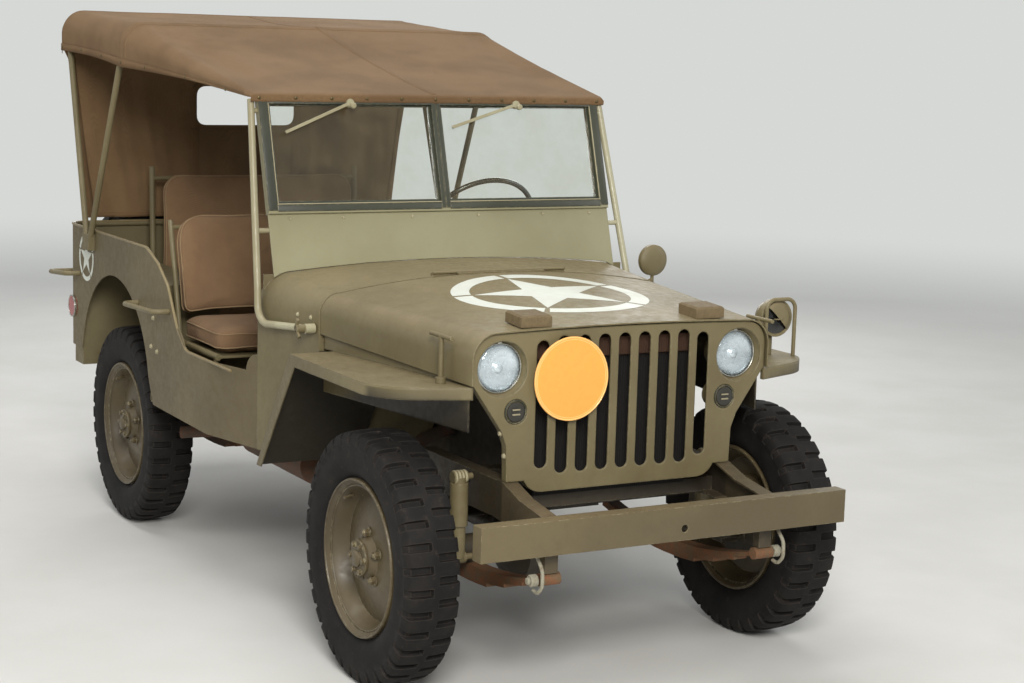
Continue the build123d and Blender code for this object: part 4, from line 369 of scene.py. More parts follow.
def lathe(made, profile, centre, axis, segments=48, start=0.0, turn=math.tau):
    """Revolved skin of (along, radius) points about an axis through centre."""
    axis = Vector(axis).normalized()
    side = axis.orthogonal().normalized()
    other = axis.cross(side)
    rings = []
    closed = turn > 6.28
    for along, radius in profile:
        if radius < 1e-6:
            rings.append([made.verts.new(centre + axis * along)])
            continue
        ring = []
        for step in range(segments if closed else segments + 1):
            angle = start + turn * step / segments
            ring.append(
                made.verts.new(centre + axis * along + (side * math.cos(angle) + other * math.sin(angle)) * radius)
            )
        rings.append(ring)
    for first, second in zip(rings, rings[1:]):
        for step in range(segments):
            after = (step + 1) % segments if closed else step + 1
            corners = [first[step % len(first)], first[after % len(first)]]
            corners += [second[after % len(second)], second[step % len(second)]]
            unique = list(dict.fromkeys(corners))
            if len(unique) > 2:
                made.faces.new(unique)


def turned(name, slot, body, profiles, centre, axis=FRONT, segments=48, **look):
    """Piece made of skins revolved about one axis."""
    made = bmesh.new()
    for profile in profiles:
        lathe(made, profile, centre, axis, segments)
    return from_bmesh(name, made, slot, body, **look)


def cylinder(made, start, end, radius, segments=16, chamfer=0.15):
    """Round bar with chamfered ends."""
    run = Vector(end) - Vector(start)
    edge = min(radius * chamfer, run.length / 4)
    profile = [
        (0, 0),
        (0, radius - edge),
        (edge, radius),
        (run.length - edge, radius),
        (run.length, radius - edge),
        (run.length, 0),
    ]
    lathe(made, profile, Vector(start), run, segments)


def hexagon(made, start, axis, across, tall):
    """Hexagonal bolt head or nut with a washer under it."""
    axis = Vector(axis).normalized()
    start = Vector(start)
    radius = across / 2 / math.cos(math.pi / 6)
    cylinder(made, start, start + axis * tall * 0.2, radius * 1.35, 16, 0.1)
    base = start + axis * tall * 0.2
    head = [(0, 0), (0, radius), (tall * 0.7, radius), (tall * 0.8, radius * 0.85), (tall * 0.8, 0)]
    lathe(made, head, base, axis, 6)


def join_rings(made, rings):
    """Quads between closed rings of as many points."""
    for low, high in zip(rings, rings[1:]):
        for step in range(len(low)):
            after = (step + 1) % len(low)
            made.faces.new((low[step], low[after], high[after], high[step]))


def tube_along(made, points, radius, segments=12, closed_ends=True):
    """Round tube through points, turned smoothly at each."""
    points = [Vector(p) for p in points]
    frames = []
    side = None
    for index, point in enumerate(points):
        before = points[max(index - 1, 0)]
        after = points[min(index + 1, len(points) - 1)]
        along = (after - before).normalized()
        side = along.orthogonal() if side is None else side - along * side.dot(along)
        side.normalize()
        frames.append((point, side.copy(), along.cross(side)))
    rings = []
    for point, first, second in frames:
        ring = []
        for step in range(segments):
            angle = math.tau * step / segments
            ring.append(made.verts.new(point + (first * math.cos(angle) + second * math.sin(angle)) * radius))
        rings.append(ring)
    join_rings(made, rings)
    if closed_ends:
        made.faces.new(rings[0])
        made.faces.new(rings[-1])


def bent(corners, radius, steps=6):
    """Points along straight runs with round corners."""
    corners = [Vector(p) for p in corners]
    points = [corners[0]]
    for before, here, after in zip(corners, corners[1:], corners[2:]):
        back = (before - here).normalized()
        ahead = (after - here).normalized()
        half = back.angle(ahead) / 2
        reach = min(radius / math.tan(half), (before - here).length * 0.49, (after - here).length * 0.49)
        for step in range(steps + 1):
            share = step / steps
            start = here + back * reach
            end = here + ahead * reach
            points.append(start.lerp(here, share).lerp(here.lerp(end, share), share))
    points.append(corners[-1])
    return points


def slab(made, centre, size, rotation=None, chamfer=0.0015):
    """Chamfered box."""
    part = bmesh.new()
    bmesh.ops.create_cube(part, size=1.0)
    bmesh.ops.scale(part, vec=size, verts=part.verts)
    if chamfer:
        bmesh.ops.bevel(
            part, geom=part.edges[:], offset=min(chamfer, min(size) * 0.3), segments=2, affect="EDGES", profile=0.5
        )
    matrix = Matrix.Translation(centre) @ (rotation.to_4x4() if rotation else Matrix.Identity(4))
    bmesh.ops.transform(part, matrix=matrix, verts=part.verts)
    mesh = mesh_of("part", part)
    made.from_mesh(mesh)
    bpy.data.meshes.remove(mesh)


# CAD nodes: smooth where they are round, and their slot's finish


DARK_PAINT = paint("GlassFramePaint", colour(60, 62, 50), colour(50, 52, 42), 0.15, 0.0, 0.9, 0.4)
OWN_FINISH = {
    # nodes whose paint differs a little from the rest of their slot
    # fenders, cowl and body sides carry the painted shade of the front wheel arches
    "fenders": paint("FenderPaint", OLIVE, OLIVE_SHADE, 0.3, 0.25, 0.5, 0.46, round_edge=0.010, arch_shade=0.92),
    "cowl": paint("CowlPaint", OLIVE, OLIVE_SHADE, 0.3, 0.25, 0.5, 0.50, round_edge=0.005, arch_shade=0.88),
    # grille: pale slot rims are worn paint and painted highlight
    "grille": paint("GrillePaint", OLIVE, OLIVE_SHADE, 0.15, 0.2, 0.7, 0.44, round_edge=0.006),
    # body sides: a darker copy of the olive, painted shade on the sides turned away from the light
    "body_side_left": paint("ShadedSidePaint", colour(103, 92, 65), colour(90, 79, 55), 0.3, 0.3, 0.5, arch_shade=0.85),
    # windshield frame: a paler copy of the olive, painted light on its strongly lit face
    "windshield_frame": paint("LitWindshieldPaint", colour(144, 140, 111), colour(134, 129, 100), 0.12, 0.0, 0.6, 0.40),
    # bumper: a darker copy of the olive, painted shade as the light comes from above; its pale edges are partly painted
    # highlight
    "front_bumper": paint("ShadedBumperPaint", colour(100, 89, 63), colour(86, 76, 54), 0.25, 0.2, 0.9, 0.45),
    "glass_frames": DARK_PAINT,
}
OWN_FINISH["body_side_right"] = OWN_FINISH["body_side_left"]


def dress_nodes():
    for name, node in nodes.items():
        node.data.materials.clear()
        node.data.materials.append(OWN_FINISH.get(name) or MATERIALS[slot_of[name]])
        for face in node.data.polygons:
            face.material_index = 0
            face.use_smooth = True
        weld = node.modifiers.new("Weld", "WELD")
        weld.merge_threshold = 0.00002
        split = node.modifiers.new("Crisp", "EDGE_SPLIT")
        split.split_angle = math.radians(28)


dress_nodes()


# Tyres: a ring of tread with slots from each shoulder, staggered, and ribs down the side

TREAD_PITCHES = 36
TREAD_DEPTH = 0.013
SLOT_EDGES = (0.03, 0.07, 0.22, 0.37, 0.41)
TYRE_SECTION = [
    # outboard of the middle, radius, share of the slot's depth there
    (0.0, 0.3530, 0.0),
    (0.008, 0.3529, 0.0),
    (0.012, 0.3528, 1.0),
    (0.030, 0.3522, 1.0),
    (0.048, 0.3510, 1.0),
    (0.062, 0.3490, 1.0),
    (0.068, 0.3470, 1.0),
    (0.0725, 0.3425, 0.9),
    (0.0755, 0.3360, 0.7),
    (0.0775, 0.3280, 0.5),
    (0.0785, 0.3200, 0.35),
    (0.0790, 0.3140, 0.3),
    (0.0780, 0.3120, 0.0),
    (0.0785, 0.2980, 0.0),
    (0.0790, 0.2760, 0.0),
    (0.0775, 0.2600, 0.0),
    (0.0735, 0.2450, 0.0),
    (0.0700, 0.2380, 0.0),
    (0.0692, 0.2370, 0.0),
    (0.0660, 0.2330, 0.0),
    (0.0620, 0.2280, 0.0),
    (0.0575, 0.2240, 0.0),
    (0.0565, 0.2060, 0.0),
]


def tyre(name, centre, outboard, body):
    """One tyre, standing for its CAD node."""
    made = bmesh.new()
    across = Vector(outboard)
    first = across.cross(UP).normalized()
    shares = sorted(SLOT_EDGES + tuple(0.5 + edge for edge in SLOT_EDGES))
    angles = [pitch + share for pitch in range(TREAD_PITCHES) for share in shares]
    rows = [(-a, r, cut) for a, r, cut in reversed(TYRE_SECTION[1:])] + list(TYRE_SECTION)
    grid = []
    for along, radius, cut in rows:
        ring = []
        for angle in angles:
            phase = angle % 1.0
            if along < 0:
                phase = (phase + 0.5) % 1.0
            in_slot = SLOT_EDGES[1] - 1e-6 <= phase <= SLOT_EDGES[3] + 1e-6
            depth = TREAD_DEPTH * cut if in_slot else 0.0
            turn = math.tau * angle / TREAD_PITCHES
            shrink = depth if abs(along) < 0.07 else depth * 0.5
            inward = 0.0 if abs(along) < 0.07 else math.copysign(depth * 0.55, -along)
            spot = centre + across * (along + inward)
            spot += (first * math.cos(turn) + UP * math.sin(turn)) * (radius - shrink)
            ring.append(made.verts.new(spot))
        grid.append(ring)
    join_rings(made, [*grid, grid[0]])
    piece = from_bmesh(f"{name}_tread", made, "tyre", body, smooth=40)
    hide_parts(name)


def middle_of(name):
    low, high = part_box(name)
    return (low + high) / 2


WHEELS = [
    # place, outboard direction
    ("front_left", (1, 0, 0)),
    ("front_right", (-1, 0, 0)),
    ("rear_left", (1, 0, 0)),
    ("rear_right", (-1, 0, 0)),
    ("spare", (0, 1, 0)),
]
for place, outboard in WHEELS:
    tyre(f"tyre_{place}", middle_of(f"tyre_{place}"), outboard, body_of[f"tyre_{place}"])


# Wheel fittings: hub flange bolts, wheel nuts, the rim's edge and the valve

LUG_NUTS = 5
LUG_NUT_R = 0.070
HUB_BOLTS = 6
HUB_FACE = 0.0655


def wheel_fittings(place, outboard):
    node = f"wheel_{place}"
    centre = middle_of(f"tyre_{place}")
    across = Vector(outboard)
    first = across.cross(UP).normalized()
    made = bmesh.new()
    for index in range(LUG_NUTS):
        angle = math.tau * (index + 0.25) / LUG_NUTS
        ray = first * math.cos(angle) + UP * math.sin(angle)
        hexagon(made, centre + across * 0.0325 + ray * LUG_NUT_R, across, 0.021, 0.017)
        cylinder(
            made,
            centre + across * 0.045 + ray * LUG_NUT_R,
            centre + across * 0.0545 + ray * LUG_NUT_R,
            0.0062,
            10,
        )
    cap = [(-0.0035, 0.0), (-0.0035, 0.049), (-0.0015, 0.051), (0.0045, 0.051), (0.006, 0.049), (0.006, 0.0)]
    lathe(made, [(HUB_FACE - 0.006 + along, radius) for along, radius in cap], centre, across, 40)
    for index in range(HUB_BOLTS):
        angle = math.tau * index / HUB_BOLTS
        ray = first * math.cos(angle) + UP * math.sin(angle)
        hexagon(made, centre + across * HUB_FACE + ray * 0.040, across, 0.014, 0.010)
    boss = [(0.0, 0.0235), (0.006, 0.0235), (0.010, 0.0205), (0.0125, 0.0150), (0.0125, 0.0)]
    lathe(made, [(HUB_FACE + along, radius) for along, radius in boss], centre, across, 32)
    for along, radius, bulge in ((0.0675, 0.2172, 0.0042), (0.0545, 0.2015, 0.0034)):
        ring = [(0.0, radius + bulge), (bulge * 0.7, radius + bulge * 0.7), (bulge, radius)]
        ring += [(bulge * 0.7, radius - bulge * 0.7), (0.0, radius - bulge)]
        lathe(made, [(along + a, r) for a, r in ring], centre, across, 96)
    stem = centre + across * 0.030 + (first * 0.6 + UP * 0.8) * 0.188
    cylinder(made, stem, stem + across * 0.030 - (first * 0.6 + UP * 0.8) * 0.006, 0.0045, 10)
    from_bmesh(f"{node}_fittings", made, "wheel_paint", body_of[node])


for place, outboard in WHEELS:
    wheel_fittings(place, outboard)


# Canvas: a roof stretched over the bows with short sides, and a curtain behind it

ROOF = [
    # metres behind the front axle, half width, roof z, lower edge z, radius of the shoulders
    (0.950, 0.640, 1.590, 1.573, 0.014),
    (1.905, 0.738, 1.795, 1.638, 0.084),
    (2.611, 0.742, 1.835, 1.682, 0.084),
]
WINDSHIELD_AT, BOW_AT, ROOF_END = (row[0] for row in ROOF)
TOP_SHARE = 0.80
SIDE_SHARE = 0.90
HEM_Z = 1.560
CLOTH_THICK = 0.0025
SNAP = [(0, 0.0058), (0.0015, 0.0055), (0.0028, 0.0036), (0.0032, 0.0)]


def roof_row(at):
    before, after = (ROOF[0], ROOF[1]) if at <= BOW_AT else (ROOF[1], ROOF[2])
    share = (at - before[0]) / (after[0] - before[0])
    return [low + share * (high - low) for low, high in zip(before[1:], after[1:])]


def roof_spot(run, at, lift=0.0):
    """Point of the roof cloth; run is -1 at the right edge, 0 in the middle and 1 at the left edge."""
    half, roof, edge, shoulder = roof_row(at)
    share = abs(run)
    if share > SIDE_SHARE:
        down = (share - SIDE_SHARE) / (1 - SIDE_SHARE)
        x, z, out, up = half, roof - shoulder + (edge - roof + shoulder) * down, 1.0, 0.0
    elif share > TOP_SHARE:
        turn = (share - TOP_SHARE) / (SIDE_SHARE - TOP_SHARE) * math.pi / 2
        out, up = math.sin(turn), math.cos(turn)
        x, z = half - shoulder + shoulder * out, roof - shoulder + shoulder * up
    else:
        x, z, out, up = (half - shoulder) * share / TOP_SHARE, roof, 0.0, 1.0
    in_front = at <= BOW_AT
    start, end = (WINDSHIELD_AT, BOW_AT) if in_front else (BOW_AT, ROOF_END - 0.02)
    bay = math.sin(math.pi * min((at - start) / (end - start), 1.0))
    sink = 0.003 + (0.013 if in_front else 0.011) * bay * up * (0.4 + 0.6 * math.cos(math.pi / 2 * x / half))
    if in_front:
        sink += 0.012 * bay * up * math.exp(-(((half - x - 0.115) / 0.05) ** 2))
    sink += 0.007 * bay * out * (share - TOP_SHARE) / (1 - TOP_SHARE)
    side = math.copysign(1, run)
    folds = noise.noise(Vector((side * x * 4.5, at * 2.4, z * 3.0)))
    small = noise.noise(Vector((side * x * 15, at * 11, 5.0)))
    sink += (0.0035 * folds + 0.0010 * small) * (0.25 + 0.75 * bay)
    sink -= 0.003 * math.exp(-(((at - BOW_AT) / 0.016) ** 2)) * (0.4 + 0.6 * up)
    sink += 0.012 * max(0.0, (at - (ROOF_END - 0.018)) / 0.018) ** 2 * up
    sink += 0.004 * max(0.0, (WINDSHIELD_AT + 0.010 - at) / 0.010) ** 2 * up
    if share > SIDE_SHARE:
        z += 0.007 * bay * (share - SIDE_SHARE) / (1 - SIDE_SHARE)
    return Vector((side * (x + out * (lift - sink)), station(at), z + up * (lift - sink)))


def front_hem_spot(run, down, lift=0.0):
    """Point of the hem that hangs over the windshield's top bar; down goes from 0 to 1."""
    spot = roof_spot(run, WINDSHIELD_AT, min(lift, 0.0005))
    spot.z += (HEM_Z - spot.z) * down
    spot.y -= lift + 0.0006 * math.sin(spot.x * 95) * down
    return spot


def spread(low, high, count):
    return [low + (high - low) * step / count for step in range(count + 1)]


def grid_of(made, rows):
    rows = [[made.verts.new(spot) for spot in row] for row in rows]
    for first, second in zip(rows, rows[1:]):
        for step in range(len(first) - 1):
            made.faces.new((first[step], first[step + 1], second[step + 1], second[step]))


def cloth_piece(name, made, body, thick, outward, material=None, centred=False):
    """Open surface given a cloth's thickness, its outer side towards outward."""
    bmesh.ops.remove_doubles(made, verts=made.verts, dist=0.00001)
    piece = from_bmesh(name, made, "canvas", body, material, smooth=0)
    facing = sum((face.normal * face.area for face in piece.data.polygons), Vector())
    if facing.dot(Vector(outward)) < 0:
        piece.data.flip_normals()
    piece.data.shade_smooth()
    shell = piece.modifiers.new("Thickness", "SOLIDIFY")
    shell.thickness = thick
    shell.offset = 0 if centred else -1
    return piece


RUNS = spread(-1, -SIDE_SHARE, 6) + spread(-SIDE_SHARE, -TOP_SHARE, 8)[1:] + spread(-TOP_SHARE, TOP_SHARE, 66)[1:]
RUNS += spread(TOP_SHARE, SIDE_SHARE, 8)[1:] + spread(SIDE_SHARE, 1, 6)[1:]
ROOF_STOPS = [WINDSHIELD_AT + step for step in (0, 0.002, 0.005, 0.010)]
ROOF_STOPS += spread(WINDSHIELD_AT + 0.010, BOW_AT - 0.024, 44)[1:] + spread(BOW_AT - 0.024, BOW_AT + 0.024, 8)[1:]
ROOF_STOPS += spread(BOW_AT + 0.024, ROOF_END - 0.020, 30)[1:] + spread(ROOF_END - 0.020, ROOF_END, 5)[1:]
HEM = cloth("CanvasHem", colour(134, 106, 75), colour(118, 92, 64))
BRASS = plain("DullBrass", colour(92, 78, 50), 0.4, 0.7)


def canvas_roof():
    body = body_of["canvas_top"]
    made = bmesh.new()
    rows = [[front_hem_spot(run, down) for run in RUNS] for down in (1.0, 0.66, 0.33)]
    rows += [[roof_spot(run, at) for run in RUNS] for at in ROOF_STOPS]
    rows.append([roof_spot(run, ROOF_END) + Vector((0, 0.0005, -0.012)) for run in RUNS])
    grid_of(made, rows)
    roof = cloth_piece("canvas_roof", made, body, CLOTH_THICK, (0, 0, 1))
    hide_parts("canvas_top")

    made = bmesh.new()
    for edge in (-1, 1):
        shares = (0.962, 0.98, 1.0)
        grid_of(made, [[roof_spot(edge * share, at, 0.0012) for share in shares] for at in ROOF_STOPS[3:]])
    grid_of(made, [[front_hem_spot(run, down, 0.0012) for run in RUNS] for down in (1.0, 0.66, 0.33, 0.05)])
    grid_of(made, [[roof_spot(run, at, 0.0012) for run in RUNS] for at in ROOF_STOPS[-6:-1]])
    hems = cloth_piece("canvas_roof_hems", made, body, 0.002, (0, -1, 1), HEM)

    made = bmesh.new()
    grid_of(made, [[roof_spot(run, at, 0.0011) for run in (-0.011, 0.0, 0.011)] for at in ROOF_STOPS[3:-1]])
    for at in (BOW_AT - 0.030, BOW_AT + 0.016):
        grid_of(made, [[roof_spot(run, at + step, 0.0009) for run in RUNS] for step in (0, 0.007, 0.014)])
    for edge in (-1, 1):
        for corner in (0.015, 0.03, 0.045):
            stops = [WINDSHIELD_AT + corner + step for step in (0, 0.015)]
            shares = (0.86, 0.90, 0.95, 0.99)
            grid_of(made, [[roof_spot(edge * share, at, 0.0016) for share in shares] for at in stops])
    seams = cloth_piece("canvas_roof_seams", made, body, 0.0018, (0, 0, 1))

    made = bmesh.new()
    for index in range(11):
        spot = front_hem_spot(0.0, 0.45, 0.003)
        spot.x = -0.61 + 0.122 * index
        lathe(made, SNAP, spot, (0, -1, 0), 14)
    for edge in (-1, 1):
        for at in (1.12, 1.42, 1.72, 1.905, 2.14, 2.38, 2.595):
            spot = roof_spot(edge * 0.978, at, 0.003)
            lathe(made, SNAP, spot, (edge, 0, 0), 14)
    snaps = from_bmesh("canvas_roof_snaps", made, "canvas", body, BRASS)


CURTAIN_AT = 2.608
WINDOW_HALF = 0.205
WINDOW_LOW_Z, WINDOW_TOP_Z = 1.404, 1.555
WINDOW_CORNER = 0.040
CURTAIN_MIDDLE_Z = (WINDOW_LOW_Z + WINDOW_TOP_Z) / 2
CURTAIN_HALF = [
    # half width, z, from the lower edge to the roof
    (0.642, 1.048),
    (0.716, 1.650),
    (0.735, 1.690),
    (0.735, 1.745),
    (0.712, 1.800),
    (0.655, 1.824),
]


def rounded(corners, radii, steps=6):
    """Closed outline of (x, z) with rounded corners."""
    spots = [Vector((x, 0, z)) for x, z in corners]
    ring = []
    for index, here in enumerate(spots):
        before, after = spots[index - 1], spots[(index + 1) % len(spots)]
        back, ahead = (before - here).normalized(), (after - here).normalized()
        reach = min(radii[index], (before - here).length * 0.45, (after - here).length * 0.45)
        start, end = here + back * reach, here + ahead * reach
        for step in range(steps + 1):
            share = step / steps
            spot = start.lerp(here, share).lerp(here.lerp(end, share), share)
            ring.append((spot.x, spot.z))
    return ring


def reach_out(ring, angle, middle):
    """Where a ray from the middle at an angle leaves a closed outline."""
    ray = Vector((math.cos(angle), math.sin(angle)))
    for index, here in enumerate(ring):
        first = Vector(here) - Vector(middle)
        run = Vector(ring[(index + 1) % len(ring)]) - Vector(here)
        across = ray.x * run.y - ray.y * run.x
        if abs(across) < 1e-12:
            continue
        far = (first.x * run.y - first.y * run.x) / across
        share = (first.x * ray.y - first.y * ray.x) / across
        if far > 0 and -1e-9 <= share <= 1 + 1e-9:
            return Vector(middle) + ray * far
    return Vector(ring[0])


def curtain_depth(x, z, from_window):
    """How far back the curtain hangs: folds that grow downwards and die out at the top and the window."""
    low = min(max((1.70 - z) / 0.50, 0.0), 1.0)
    wander = 1.6 * noise.noise(Vector((x * 2.2, 0.0, z * 1.6)))
    fold = math.sin(x * 40 + wander * 2.5) + 0.45 * math.sin(x * 87 + wander * 4)
    calm = min(from_window / 0.30, 1.0) ** 1.5
    ripple = 0.0012 * noise.noise(Vector((x * 14, 2.0, z * 11)))
    return 0.0075 * low * calm * fold + ripple


def curtain():
    body = body_of["canvas_top"]
    outer = CURTAIN_HALF + [(-x, z) for x, z in reversed(CURTAIN_HALF)]
    left = [(WINDOW_HALF, WINDOW_LOW_Z), (WINDOW_HALF, WINDOW_TOP_Z)]
    window = rounded(left + [(-x, z) for x, z in reversed(left)], [WINDOW_CORNER] * 4)
    middle = (0.0, CURTAIN_MIDDLE_Z)
    angles = {round(math.atan2(z - middle[1], x), 6) for x, z in outer + window}
    angles |= {round(-math.pi + math.tau * (step + 0.5) / 200, 6) for step in range(200)}
    angles = sorted(angles)
    angles.append(angles[0] + math.tau)

    def row(share):
        spots = []
        for angle in angles:
            spot = reach_out(window, angle, middle).lerp(reach_out(outer, angle, middle), share)
            deep = CURTAIN_AT + curtain_depth(spot.x, spot.y, share)
            spots.append(Vector((spot.x, station(deep), spot.y)))
        return spots

    made = bmesh.new()
    grid_of(made, [row(share) for share in spread(0, 1, 34)])
    sheet = cloth_piece("canvas_curtain", made, body, 0.002, (0, 1, 0), centred=True)
    made = bmesh.new()
    grid_of(made, [row(share) for share in (0.0, 0.025, 0.05)])
    grid_of(made, [row(share) for share in (0.95, 0.975, 1.0)])
    for middle in (-0.215, 0.215):
        lines = []
        for z in spread(1.392, 1.085, 22):
            line = [middle + step for step in (-0.019, -0.006, 0.006, 0.019)]
            lines.append([Vector((x, station(CURTAIN_AT + curtain_depth(x, z, 1.0)), z)) for x in line])
        grid_of(made, lines)
    hems = cloth_piece("canvas_curtain_hems", made, body, 0.0052, (0, 1, 0), HEM, centred=True)
    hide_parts("canvas_top")


canvas_roof()
curtain()


# Cushions: a rounded block inside each solid, puffed by a short cloth run and piped along its edges

PASSENGER_EDGES, DRIVER_EDGES, BENCH_EDGES = (-0.674, -0.250), (0.250, 0.674), (-0.405, 0.405)
# start and end of the middle line (metres behind the axle, z), thickness, radius of the corners at start and end
FRONT_SEAT = ((1.130, 0.785), (1.480, 0.785), 0.0857, 0.05, 0.03)
FRONT_BACK = ((1.477, 0.828), (1.562, 1.162), 0.0678, 0.03, 0.11)
CUSHIONS = [
    # name, node, right and left edge, then the shape
    ("seat_passenger", "seat_cushions_passenger", PASSENGER_EDGES, *FRONT_SEAT),
    ("back_passenger", "seat_cushions_passenger", PASSENGER_EDGES, *FRONT_BACK),
    ("seat_driver", "seat_cushions", DRIVER_EDGES, *FRONT_SEAT),
    ("back_driver", "seat_cushions", DRIVER_EDGES, *FRONT_BACK),
    ("bench_seat", "seat_cushions", BENCH_EDGES, (2.040, 0.755), (2.425, 0.755), 0.1095, 0.05, 0.03),
    ("bench_back", "seat_cushions", BENCH_EDGES, (2.4483, 0.830), (2.4612, 1.232), 0.0565, 0.03, 0.09),
]
CUSHION_ROWS = [
    # share of the way out, share of the half thickness: crowned face, rolled side, flatter back
    (0.22, 0.98),
    (0.44, 0.97),
    (0.64, 0.95),
    (0.80, 0.915),
    (0.91, 0.86),
    (0.965, 0.79),
    (0.992, 0.62),
    (1.0, 0.30),
    (1.0, -0.35),
    (0.994, -0.70),
    (0.97, -0.84),
    (0.91, -0.90),
    (0.80, -0.93),
    (0.64, -0.95),
    (0.44, -0.955),
    (0.22, -0.96),
]
PUFF_CAP = 0.010
PUFF_PRESSURE = 4
PUFF_FRAMES = 20
FINE_VOXEL, COARSE_VOXEL = 0.008, 0.010
BLOCK_INSET = 0.004
CROWN_ROOM = 0.006
PIPING = cloth("CushionPiping", colour(172, 146, 112), colour(150, 124, 92))


def evaluated_mesh(piece):
    return bpy.data.meshes.new_from_object(piece.evaluated_get(bpy.context.evaluated_depsgraph_get()))


def puffed(piece, voxel):
    """Remeshes the block and lets a short cloth run under pressure swell it, no point by more than the cap."""
    remesh = piece.modifiers.new("Remesh", "REMESH")
    remesh.mode = "VOXEL"
    remesh.voxel_size = voxel
    piece.data = evaluated_mesh(piece)
    piece.modifiers.clear()
    rest = [vertex.co.copy() for vertex in piece.data.vertices]
    blown = piece.modifiers.new("Puff", "CLOTH")
    blown.settings.quality = 4
    blown.settings.mass = 0.25
    blown.settings.use_pressure = True
    blown.settings.uniform_pressure_force = PUFF_PRESSURE
    blown.settings.effector_weights.gravity = 0
    blown.point_cache.frame_start = 1
    blown.point_cache.frame_end = PUFF_FRAMES
    for step in range(1, PUFF_FRAMES + 1):
        bpy.context.scene.frame_set(step)
    swollen = evaluated_mesh(piece)
    piece.modifiers.clear()
    for vertex, before in zip(swollen.vertices, rest):
        moved = vertex.co - before
        if moved.length > PUFF_CAP:
            vertex.co = before + moved.normalized() * PUFF_CAP
    piece.data = swollen
    bpy.context.scene.frame_set(1)


def cushion(name, node, edges, start, end, thick, start_corner, end_corner):
    start, end = (Vector((0, station(at), z)) for at, z in (start, end))
    along = (end - start).normalized()
    across = Vector((1, 0, 0))
    face = across.cross(along)
    centre = (start + end) / 2 + across * (edges[0] + edges[1]) / 2
    half_wide, half_long, half_thick = (edges[1] - edges[0]) / 2, (end - start).length / 2, thick / 2
    corners = [(1, -1), (1, 1), (-1, 1), (-1, -1)]
    radii = [start_corner, end_corner, end_corner, start_corner]
    outline = [(x * (half_wide - BLOCK_INSET), y * (half_long - BLOCK_INSET)) for x, y in corners]
    outline = rounded(outline, radii, 8)

    def place(x, y, height):
        pulled = 1 - 0.012 * (1 - abs(x / half_wide) ** 2) * abs(y / half_long) ** 6
        drawn = 1 - 0.010 * (1 - abs(y / half_long) ** 2) * abs(x / half_wide) ** 6
        return centre + across * x * drawn + along * y * pulled + face * height

    ring = []
    for index, here in enumerate(outline):
        after = outline[(index + 1) % len(outline)]
        pieces = max(1, round((Vector(after) - Vector(here)).length / 0.02))
        ring += [Vector(here).lerp(Vector(after), step / pieces) for step in range(pieces)]
    made = bmesh.new()
    rows = []
    for share, height in CUSHION_ROWS:
        raised = height * (half_thick - CROWN_ROOM)
        rows.append([made.verts.new(place(p.x * share, p.y * share, raised)) for p in ring])
    join_rings(made, rows)
    for row in (rows[0], rows[-1]):
        made.faces.new(row)
    bmesh.ops.triangulate(made, faces=[f for f in made.faces if len(f.verts) > 4])
    bmesh.ops.recalc_face_normals(made, faces=made.faces)
    piece = linked(name, mesh_of(name, made))
    puffed(piece, FINE_VOXEL if half_wide < 0.3 else COARSE_VOXEL)
    for vertex in piece.data.vertices:
        offset = vertex.co - centre
        x, y, height = offset.dot(across), offset.dot(along), offset.dot(face)
        crease = noise.noise(Vector((x * 7, y * 9, height * 6 + edges[0] * 5)))
        dent = 0.0022 * crease if height > 0 else 0.0008 * crease
        x = max(-half_wide - 0.002, min(half_wide + 0.002, x))
        y = max(-half_long + 0.001, min(half_long + 0.004, y))
        height = max(-half_thick + 0.0005, min(half_thick + 0.007, height + dent))
        vertex.co = centre + across * x + along * y + face * height
    skin = BVHTree.FromObject(piece, bpy.context.evaluated_depsgraph_get())
    data = piece.data
    bpy.data.objects.remove(piece)
    padded = finish_mesh(name, data, "seat_fabric", body_of[node], smooth=0)
    data.shade_smooth()
    rounder = padded.modifiers.new("Rounder", "SUBSURF")
    rounder.levels = rounder.render_levels = 1
    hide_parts(node)
    made = bmesh.new()
    for height, share in ((0.50, 0.985), (-0.66, 0.985)):
        spots = []
        for p in ring + ring[:1]:
            aim = place(p.x * share, p.y * share, height * half_thick)
            spot, normal = skin.find_nearest(aim)[:2]
            spots.append(spot + normal * 0.0010)
        tube_along(made, spots, 0.0024, 8, closed_ends=False)
    from_bmesh(f"{name}_piping", made, "seat_fabric", body_of[node], PIPING, smooth=60)


for row in CUSHIONS:
    cushion(*row)


# White marks: a star in a broken ring, laid on the sheet metal


def skin_of(*names):
    """Lookup of the faces of CAD nodes."""
    made = bmesh.new()
    for name in names:
        made.from_mesh(nodes[name].data)
    tree = BVHTree.FromBMesh(made)
    made.free()
    return tree


def flat_triangle(made, corners, steps):
    """Triangle in the (x, y) plane cut into steps rows."""
    first, second, third = (Vector((*corner, 0)) for corner in corners)
    rows = []
    for row in range(steps + 1):
        count = steps - row
        start, end = first.lerp(third, row / steps), second.lerp(third, row / steps)
        rows.append([made.verts.new(start.lerp(end, step / count) if count else third) for step in range(count + 1)])
    for low, high in zip(rows, rows[1:]):
        for step in range(len(high)):
            made.faces.new((low[step], low[step + 1], high[step]))
            if step:
                made.faces.new((low[step], high[step], high[step - 1]))


def star_in_ring(made, star_r, ring_in, ring_out, turn, gap):
    """Five-pointed star and the ring round it, which is broken at the points."""
    notch_r = star_r * math.sin(math.radians(18)) / math.sin(math.radians(54))
    for point in range(5):
        tip = turn + math.tau * point / 5
        for notch in (tip - math.pi / 5, tip + math.pi / 5):
            ends = [(r * math.cos(a), r * math.sin(a)) for r, a in ((star_r, tip), (notch_r, notch))]
            flat_triangle(made, [(0.0, 0.0), *ends], 12)
        low, high = tip + gap / 2 / ring_in, tip + math.tau / 5 - gap / 2 / ring_in
        grid_of(
            made,
            [
                [(r * math.cos(a), r * math.sin(a), 0) for r in spread(ring_in, ring_out, 4)]
                for a in spread(low, high, 24)
            ],
        )


